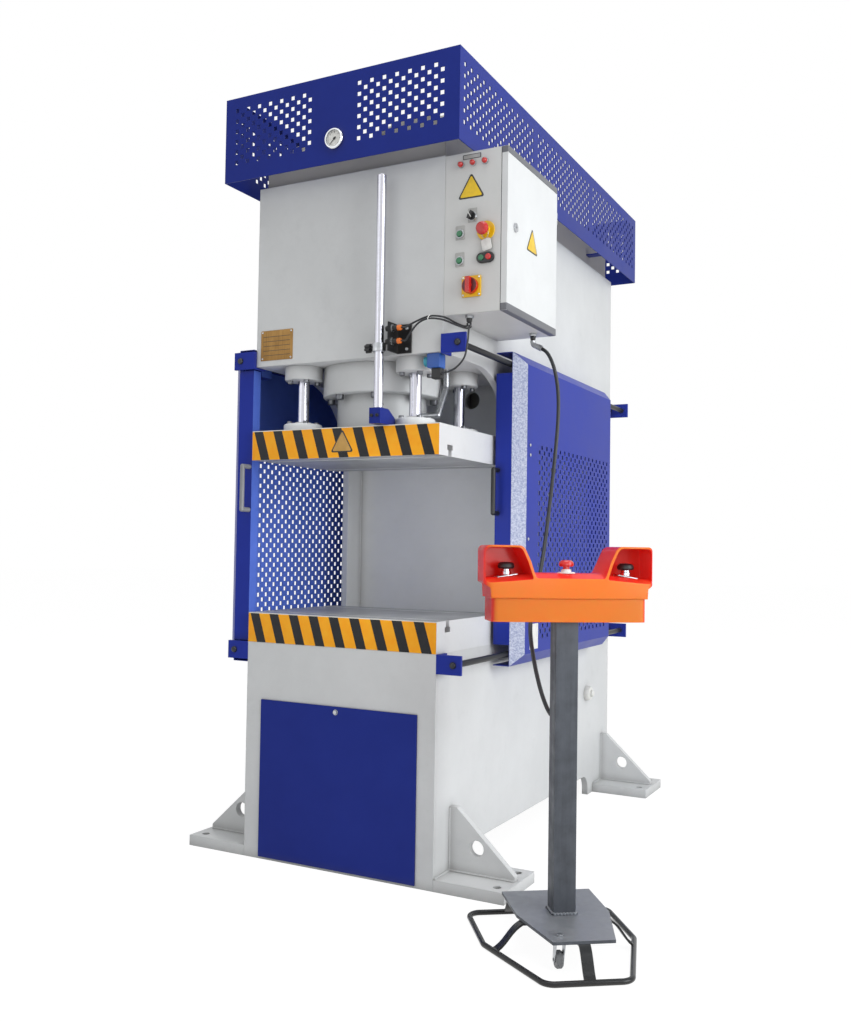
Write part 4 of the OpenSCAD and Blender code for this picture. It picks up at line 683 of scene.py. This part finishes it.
# Cabinet: a folded steel box with a full door on its right face, stoved in a pale warm grey,
# the door sealed by a black rubber strip. The controls sit in round holes in its front.
# Stoved enamel: smoother and a little paler than the frame, the door paler still
cabinet_paint = sprayed("pale stoved enamel", "#dcdcda", "#d4d4d2", 0.36, 2.0, 0.04, 0.05, 0.0, 0.2, 5.0)
door_paint = sprayed("pale stoved door enamel", "#e2e3e3", "#dadbdb", 0.34, 2.0, 0.04, 0.05, 0.0, 0.2, 3.0)
dress(cabinet_paint, "cabinet_box")
dress(door_paint, "cabinet_door")
dress(zinc_steel, "door_lock", "mounting_plate")
# Rubber and plastic trim: a flat black seal line, and dull grey profiles on the door's ends
rubber = moulded("black seal rubber", "#1b1b1c", "#141415", 0.6, 2.0)
seal = [plate(at(552.1, 224, z), *right_face, 412, 7, 1.7, 1, 0.4) for z in (1776, 2271)]
seal += [plate(at(552.1, y, 2023.5), *right_face, 7, 501, 1.7, 1, 0.4) for y in (18.5, 428.5)]
make("door_seal", seal, rubber, "frame")
dark_cap = moulded("dark grey end profile", "#6c6d72", "#606166", 0.45, 2.0)
profiles = [plate(at(554, 223.5, z), *right_face, 420, h, 20.7, 2.5, 2.0)
            for z, h in ((1782.4, 24), (2265.6, 22))]
make("door_end_profiles", profiles, dark_cap, "cabinet_door")

# Controls: buttons, lamps, a selector and a main switch, moulded in plastic, each put through a
# round hole in the cabinet's front and clamped from behind by a nut.
# Clear strong colours with a satin gloss, glossier on the lenses and buttons
lamp_red = moulded("red lamp lens", "#c8201c", "#b01814", 0.15, 4.0, 0.4)
bezel_black = moulded("black control plastic", "#202022", "#19191b", 0.35, 1.5)
yellow_plastic = moulded("yellow control plastic", "#f0c011", "#e2b10c", 0.32, 2.0)
red_plastic = moulded("red control plastic", "#cf1f1b", "#b81815", 0.26, 2.0, 0.3)
green_plastic = moulded("green control plastic", "#1f7a4d", "#196a42", 0.28, 2.0, 0.3)
dress(bezel_black, "selector_knob")
dress(red_plastic, "estop_button", "off_button", "main_switch_handle", "console_estop")
dress(green_plastic, "start_button", "reset_button", "on_button")
front = (0, -1, 0)
ring30 = [(9.2, 0), (15.0, 0), (15.0, 3.5), (13.6, 5.6), (11.5, 6.2), (9.2, 5.0), (9.2, 0)]
bezels = [lathe(ring30, at(x, 14, z), front, 48) for x, z in ((457, 2072), (415, 2022), (415, 1938))]
make("control_bezels", bezels, zinc_steel, "frame", ("panel_fittings",))
backs = [plate(at(x, 14, z), *front_face, 31, 44, 1.4, 2.5, 0.5) for x, z in ((415, 2026), (415, 1942))]
backs.append(plate(at(457, 14, 2076), *front_face, 31, 44, 1.4, 2.5, 0.5))
# Bare legend plates: satin grey, like anodised sheet
legend_grey = printed("satin grey legend plate", "#b4b3b0")
make("control_back_plates", backs, legend_grey, "frame")
make("stop_disc", [lathe([(9.3, 0), (30, 0), (30, 2.4), (28.8, 3.8), (15, 4.0), (14, 9.5), (9.3, 10.5),
                          (9.3, 0)], at(503, 14, 2022), front, 64)],
     yellow_plastic, "frame")
make("main_switch_plate", [plate(at(457, 14, 1854), *front_face, 65, 65, 5, 4, 1.2)], yellow_plastic,
     "frame")
screws = [lathe([(0, 2.2), (2.5, 2.0), (3.6, 0.6), (3.6, 0)], at(457 + sx * 27, 9, 1854 + sz * 27), front, 16)
          for sx in (-1, 1) for sz in (-1, 1)]
make("main_switch_screws", screws, zinc_steel, "frame")
# The handle's recess: the same red, darkened with painted shade for its depth
recess_shade_red = moulded("red control plastic with painted recess shade", "#5c1416", "#4c0f11", 0.35, 2.0)
make("main_switch_recess_shade", [lathe([(9, 0), (23.5, 0), (23.5, 0.5), (9, 0.5), (9, 0)], at(457, -5.4, 1854),
                                  front, 48)], recess_shade_red, "main_switch_handle")
make("selector_line", [plate(at(457, -11.0, 2072), (np.cos(np.pi / 6), 0, np.sin(np.pi / 6)),
                             (-np.sin(np.pi / 6), 0, np.cos(np.pi / 6)), 2.2, 20, 0.3, 0.5, 0.1)],
     white_film, "selector_knob")
make("pair_housing", [plate(at(503, 14, 1938), *front_face, 58, 32, 7.6, 15.5, 1.6)], bezel_black, "frame")
lamp_bezel = [(0, 0), (10, 0), (10, 4), (9, 6), (0, 6)]
lamp_lens = [(8.6, 5.8), (8.6, 9), (7.6, 13.5), (5, 16.6), (0, 17.8)]
lamps = [at(x, 14, 2239) for x in (416, 457, 498)]
make("lamp_bezels", [lathe(lamp_bezel, q, front, 40) for q in lamps], zinc_steel, "frame")
make("lamp_lenses", [lathe(lamp_lens, q, front, 40) for q in lamps], lamp_red, "frame")
make("lamp_label_rim", [plate(at(452, 14, 2261), *front_face, 62, 15, 0.6, 1.5, 0.2)], black_film, "frame")
make("lamp_label", [plate(at(452, 13.5, 2261), *front_face, 57, 11, 0.6, 1.0, 0.2)], legend_grey, "frame")
gland = [(0, -24), (5.5, -24), (8.4, -20), (9.6, -12), (9.6, -7), (10, -7), (10, 0), (0, 0)]
gland_nut = [(10.0, -9), (13.2, -9), (13.6, -8), (13.6, -1), (13.2, 0), (10.0, 0)]
glands = [at(x, y, 1771) for x, y in ((518, 368), (438, 40))]
make("cable_glands", [lathe(gland, q, (0, 0, 1), 24) for q in glands], black_nylon, "frame")
make("gland_nuts", [lathe(gland_nut, q, (0, 0, 1), 6) for q in glands], zinc_steel, "frame")
bare_triangle("cabinet_triangle", at(451, 14, 2157), *front_face, 92, yellow_film, "frame")
bare_triangle("door_triangle", at(574, 213, 2022), *right_face, 92, yellow_film, "cabinet_door")
s = np.linspace(0, 2 * np.pi, 49)
ring = np.stack([505 + 11 * np.sin(s), 14 - 12 - 1.5 * np.cos(s), 2010 + 15 * np.cos(s)], -1)
make("key_ring", [tube(moved(ring), 0.0008, 8, False)], zinc_steel, "frame")
make("plain_key_tag", [plate(at(508, 7.5, 1977), (1, 0, 0.2), (-0.2, 0, 1), 32, 36, 2.0, 7, 0.6)],
     white_film, "frame")

# Cords: the console cable drops from its gland under the cabinet, hangs past the guard and turns
# up into the console. Thin sensor cables run from the bracket to a gland near the front.


def smooth_route(points, n):
    """A cubic through the points: each span leaves along the chord of its neighbours."""
    p = np.asarray(points, float)
    a, b, c, d = np.concatenate([p[:1], p[:-2]]), p[:-1], p[1:], np.concatenate([p[2:], p[-1:]])
    t = (np.arange(n) / n)[None, :, None]
    a, b, c, d = (q[:, None] for q in (a, b, c, d))
    q = b + (c - a) * t / 2 + (2 * a - 5 * b + 4 * c - d) * t ** 2 / 2 + (3 * b - a - 3 * c + d) * t ** 3 / 2
    return moved(np.concatenate([q.reshape(-1, 3), p[-1:]]))


# Rubber sheath: near-black with a soft line of light along it
cable_black = moulded("black cable sheath", "#1c1e24", "#14161a", 0.40, 1.5, 0.1)
routes = {
    "console_cable": (12.0, [
        (518, 368, 1746.9), (518, 368, 1741), (523, 368.5, 1731), (542, 370, 1722), (568, 371, 1703),
        (589, 372, 1662), (602, 373, 1610), (608, 374, 1553), (609, 372, 1489), (609, 360, 1412),
        (612, 325, 1300), (634, 205, 1080), (662, 70, 925), (690, -50, 830), (718, -90, 735),
        (756, -118, 640), (792, -135, 592), (816, -146, 640), (818, -154, 740), (818, -154, 797),
        (818, -154, 856.9)]),
    "upper_sensor_cable": (6.0, [
        (235.1, -30, 1738), (243.1, -30, 1738), (251.1, -30, 1738), (290, -28, 1754), (330, -20, 1767),
        (372, -6, 1763), (404, 12, 1745.9), (424, 28, 1736.9), (433, 37, 1739.4), (433, 37, 1743.4),
        (433, 37, 1746.9)]),
    "lower_sensor_cable": (6.0, [
        (235.1, -30, 1696), (243.1, -30, 1696), (251.1, -30, 1696), (274, -38, 1718), (300, -38, 1744),
        (332, -31, 1757), (372, -17, 1753), (408, 4, 1737.9), (432, 30, 1729.9), (440, 46, 1735.9),
        (440, 46, 1741.9), (440, 46, 1746.9)]),
    "switch_cable": (6.0, [
        (444, 37, 1746.9), (444, 37, 1742.9), (444, 37, 1738.9), (452, 12, 1730.9), (459, -8, 1712),
        (461, -18, 1675), (452, -20, 1630), (424, -16, 1602), (392, -6, 1592), (368, -1, 1591),
        (356, 18, 1593), (352.1, 36, 1594), (348.6, 36, 1594), (345.1, 36, 1594)]),
}
for name, (d, points) in routes.items():
    path = smooth_route(points, 10)
    ob = make(name + "_sheath", [tube(path, d / 2000, 20)], cable_black, "frame", (name,))
elbow = smooth_route(routes["console_cable"][1], 10)[:34]
make("gland_elbow", [tube(elbow, np.interp(np.arange(34), [0, 26, 27, 33], [0.0085, 0.0085, 0.0098, 0.0098]),
                          20)], zinc_steel, "frame")

s = np.linspace(0, 2 * np.pi, 33)[:, None]
tie_long, tie_wide = np.array([0, 0.74, 0.67]), np.array([0, -0.67, 0.74])
tie = np.array([331, -25.5, 1762]) + 11.5 * np.cos(s) * tie_long + 4.4 * np.sin(s) * tie_wide
make("cable_tie", [tube(moved(tie), 0.0013, 8, False)], white_film, "frame")

# Stand: a square tube on a heavy plate, welded all round and left in grey mill scale, over a bent
# ring of round bar that keeps feet away. One swivel caster under the front helps to roll it.
# Mill scale: dark blue-grey with streaks along the tube, with a painted sheen that lightens faces turned up
stand_steel = bare_metal("grey mill-scale steel", "#54585f", "#44474d", 0.42, (40, 40, 3), 0.5)
t = stand_steel.node_tree
upward_sheen = add(t, "SeparateXYZ", {0: add(t, "NewGeometry").outputs["True Normal"]})
upward_sheen = add(t, "Math", {0: upward_sheen.outputs["Z"], 1: 0.5}, operation="GREATER_THAN")
lay_over(t, t.nodes["Principled BSDF"], upward_sheen.outputs[0], colour("#8f9297"))
dress(stand_steel, "stand_post")
dress(zinc_steel, "caster_fork")
# Caster rubber: matt mid grey, slightly mottled
wheel_grey = moulded("grey caster rubber", "#8f9092", "#7d7e80", 0.5, 1.5)
dress(wheel_grey, "caster_wheel")
c36, s36 = np.cos(np.radians(36)), np.sin(np.radians(36))
stand_x, stand_y = 845, -191


def on_stand(p):
    """Turns a point drawn about the post by 36 degrees and moves it to the stand's place."""
    x, y, z = np.moveaxis(np.asarray(p, float), -1, 0)
    return np.stack([stand_x + x * c36 - y * s36, stand_y + x * s36 + y * c36 - anchor_y, z], -1) / 1000


def bent_loop(corners, r, n):
    """A closed row of points with an arc of radius r in place of each corner."""
    p = np.asarray(corners, float)
    u = (p - np.roll(p, 1, 0)) / np.linalg.norm(p - np.roll(p, 1, 0), axis=1)[:, None]
    w = np.roll(u, -1, 0)
    t = r * np.tan(np.arccos((u * w).sum(1)) / 2)
    k = np.linspace(0, 1, n)[None, :, None]
    o = p - u * t[:, None] + r * np.stack([-u[:, 1], u[:, 0]], -1)
    bend = np.arccos((u * w).sum(1))[:, None, None]
    ang = np.arctan2(u[:, 1], u[:, 0])[:, None, None] - np.pi / 2 + k * bend
    return (o[:, None] + r * np.concatenate([np.cos(ang), np.sin(ang)], -1)).reshape(-1, 2)


loop = bent_loop([(-110, -262), (105, -262), (202, 0), (200, 232), (-210, 232), (-210, 0)], 36, 12)
loop = np.concatenate([[(0, 232)], loop[48:], loop[:48], [(0, 232)]])
# Enamelled bar: glossy black, scuffed dull in places
black_ring = sprayed("black enamelled bar", "#1e2023", "#151719", 0.30, 3.0, 0.08, 0.3)
ring_z, plate_z = 7.6, 77.0
ring_path = on_stand(np.column_stack([loop, np.full(len(loop), ring_z)]))


def flat_bar(path, side, w, t):
    """A flat bar: a rectangle with broken corners carried along a path, its width along side."""
    p = np.asarray(path, float)
    f = np.gradient(p, axis=0)
    f /= np.linalg.norm(f, axis=1)[:, None]
    side = np.asarray(side, float) / np.linalg.norm(side)
    n = np.cross(f, side)
    e = 0.12 * t
    prof = np.array([(w / 2, t / 2 - e), (w / 2 - e, t / 2), (-w / 2 + e, t / 2), (-w / 2, t / 2 - e),
                     (-w / 2, -t / 2 + e), (-w / 2 + e, -t / 2), (w / 2 - e, -t / 2),
                     (w / 2, -t / 2 + e)]) / 1000
    v = (p[:, None] + prof[None, :, 0, None] * side + prof[None, :, 1, None] * n[:, None]).reshape(-1, 3)
    k = len(prof)
    return v, quads(len(p), k) + [list(range(k))[::-1], list(range(len(v) - k, len(v)))]


def strap_path(a, b):
    """A strap from the ring at a up to the plate at b, then flat under the plate for 24 mm."""
    a, b = np.array(a, float), np.array(b, float)
    d = (b - a) / np.linalg.norm(b - a)
    rise = np.linspace(0, 1, 9)
    climb = ring_z + (plate_z - ring_z) * (rise - 0.06 * np.sin(2 * np.pi * rise))
    run = np.column_stack([a + (b - a) * rise[:, None], climb])
    return on_stand(np.concatenate([run, [[*(b + d * 12), plate_z], [*(b + d * 24), plate_z]]])), d


straps = []
strap_ends = (((0, -262), (0, -211)), ((-192.8, -45), (-119, -45)), ((185.4, -45), (119, -45)),
              ((-90, 232), (-90, 164)), ((90, 232), (90, 164)))
for a, b in strap_ends:
    path, d = strap_path(a, b)
    across = (-d[1] * c36 - d[0] * s36, -d[1] * s36 + d[0] * c36, 0)
    straps.append(flat_bar(path, across, 30, 6))
make("floor_ring", [tube(ring_path, 0.0075, 24, False)] + straps, black_ring, "frame",
     ("stand_ring",))
foot = np.array([(-31, -31), (31, -31), (31, 31), (-31, 31), (-31, -31)])
make("post_weld", [bead(on_stand(np.column_stack([foot, np.full(5, 89.0)])), 5.0)], stand_steel, "frame")

# Console: a two-part moulding in glossy red plastic. Each end rises to a hood that shields a
# black palm button, and an emergency stop stands on the deck between them.
# The front is slightly bowed, and the deck falls towards it.
long_way, deep_way, up = (c36, s36, 0.0), (-s36, c36, 0.0), (0.0, 0.0, 1.0)


def front_lit_moulding(name):
    """The red moulding, painted orange on the outer faces that look out to the front, as painted light."""
    m = moulded(name, "#f2352a", "#ea2c22", 0.22, 5.0, 0.10, 5.0)
    t = m.node_tree
    body = t.nodes["Principled BSDF"]
    normal = add(t, "NewGeometry").outputs["True Normal"]
    look = add(t, "VectorMath", {0: normal, 1: (s36, -c36, 0.35)}, operation="DOT_PRODUCT")
    share = add(t, "MapRange", {"Value": look.outputs["Value"], "From Min": 0.72, "From Max": 0.95})
    place = add(t, "TexCoord").outputs["Object"]
    deep = add(t, "VectorMath", {0: place, 1: deep_way}, operation="DOT_PRODUCT")
    fore = add(t, "MapRange", {"Value": deep.outputs["Value"], "From Min": front_y + 0.030,
                               "From Max": front_y + 0.022})
    share = add(t, "Math", {0: share.outputs[0], 1: fore.outputs[0]}, operation="MULTIPLY")
    lay_over(t, body, share.outputs[0], colour("#e8792a"))
    put_in(t, body, {"Specular IOR Level": 0.2, "Subsurface Weight": 0.6, "Subsurface Scale": 0.02,
                     "Subsurface Radius": (1.0, 0.18, 0.10)})
    return m


# The console's front plane, as a distance along its own depth in metres
front_y = (-s36 * stand_x + c36 * (stand_y - anchor_y) - 63) / 1000
# Glossy moulding: deep red, with subsurface light soaking through in the hoods, and painted light making the
# front orange
console_lit_red = front_lit_moulding("glossy red moulding painted orange in front")


def bowed(node, drop):
    """The moulding's own mesh, cut into strips and bent. In mm, with w along its length and d along
    its depth: the front's ends go back by bow (w / half)^2, and the deck's front falls by drop."""
    bow, half, bend_from, bend_to = 9, 232, -30, -63
    low, deck_low, deck, hood = 931, 971, 985, 1015
    bm = bmesh.new()
    bm.from_mesh(nodes[node].data)
    bmesh.ops.remove_doubles(bm, verts=bm.verts, dist=1e-6)
    cuts = [((w, 0, 0), long_way) for w in range(-200, 201, 25)]
    cuts += [((0, d, 0), deep_way) for d in (bend_from, -40, -50, -56)]
    cuts += [((0, 0, h), up) for h in (low, 951, deck_low, deck, 1000, hood)]
    for spot, way in cuts:
        everything = bm.verts[:] + bm.edges[:] + bm.faces[:]
        bmesh.ops.bisect_plane(bm, geom=everything, plane_co=on_stand(spot), plane_no=way)
    me = bpy.data.meshes.new("cut")
    bm.to_mesh(me)
    bm.free()
    v = np.empty(3 * len(me.vertices), np.float32)
    me.vertices.foreach_get("co", v)
    v = v.reshape(-1, 3).astype(float)
    w, d = ((v[:, :2] - on_stand((0, 0, 0))[:2]) @ np.array([[c36, -s36], [s36, c36]]) * 1000).T
    fore = np.clip((bend_from - d) / (bend_from - bend_to), 0, 1)
    v[:, 2] -= drop * fore * np.interp(v[:, 2] * 1000, [low, deck_low, deck, hood], [0, 1, 1, 0]) / 1000
    v += (bow * (w / half) ** 2 * fore)[:, None] * np.array(deep_way) / 1000
    return v, [list(f.vertices) for f in me.polygons]


make("console_lower_half", [bowed("console_base", 0.0)], console_lit_red, "frame",
     ("console_base",))
make("console_upper_half", [bowed("console_cover", 13.0)], console_lit_red, "frame",
     ("console_cover",))
dress(black_nylon, "left_palm_button", "right_palm_button")
palm_spots = {"left": (-165, -12), "right": (165, -12)}
collar = [(12.2, -3), (17, -3), (17, 1), (14.5, 4), (14, 5), (14, 12), (13.4, 12.8), (12.2, 12.8), (12.2, -3)]
collars = [lathe(collar, on_stand((*spot, 976.5)), up, 40) for spot in palm_spots.values()]
sleeve = [(9.3, 13), (11.9, 13), (11.9, 18.4), (11.2, 19), (9.3, 19), (9.3, 13)]
for side, spot in palm_spots.items():
    make(side + "_palm_sleeve", [lathe(sleeve, on_stand((*spot, 976.5)), up, 40)], chrome,
         side + "_palm_button")
plates = [plate(on_stand((x, y, 976.6)), (c36, s36, -0.16 * np.sign(x)), deep_way, 58, 42, 2.4, 4, 0.8)
          for x, y in palm_spots.values()]
make("palm_button_plates", plates, zinc_steel, "frame")
make("palm_button_collars", collars, chrome, "frame")
stop_collar = [(9.3, 0), (24, 0), (24, 2), (22, 3.5), (14, 4), (13, 10.5), (9.3, 11.4), (9.3, 0)]
make("console_stop_collar", [lathe(stop_collar, on_stand((0, -12, 985)), up, 48)], white_film, "frame")
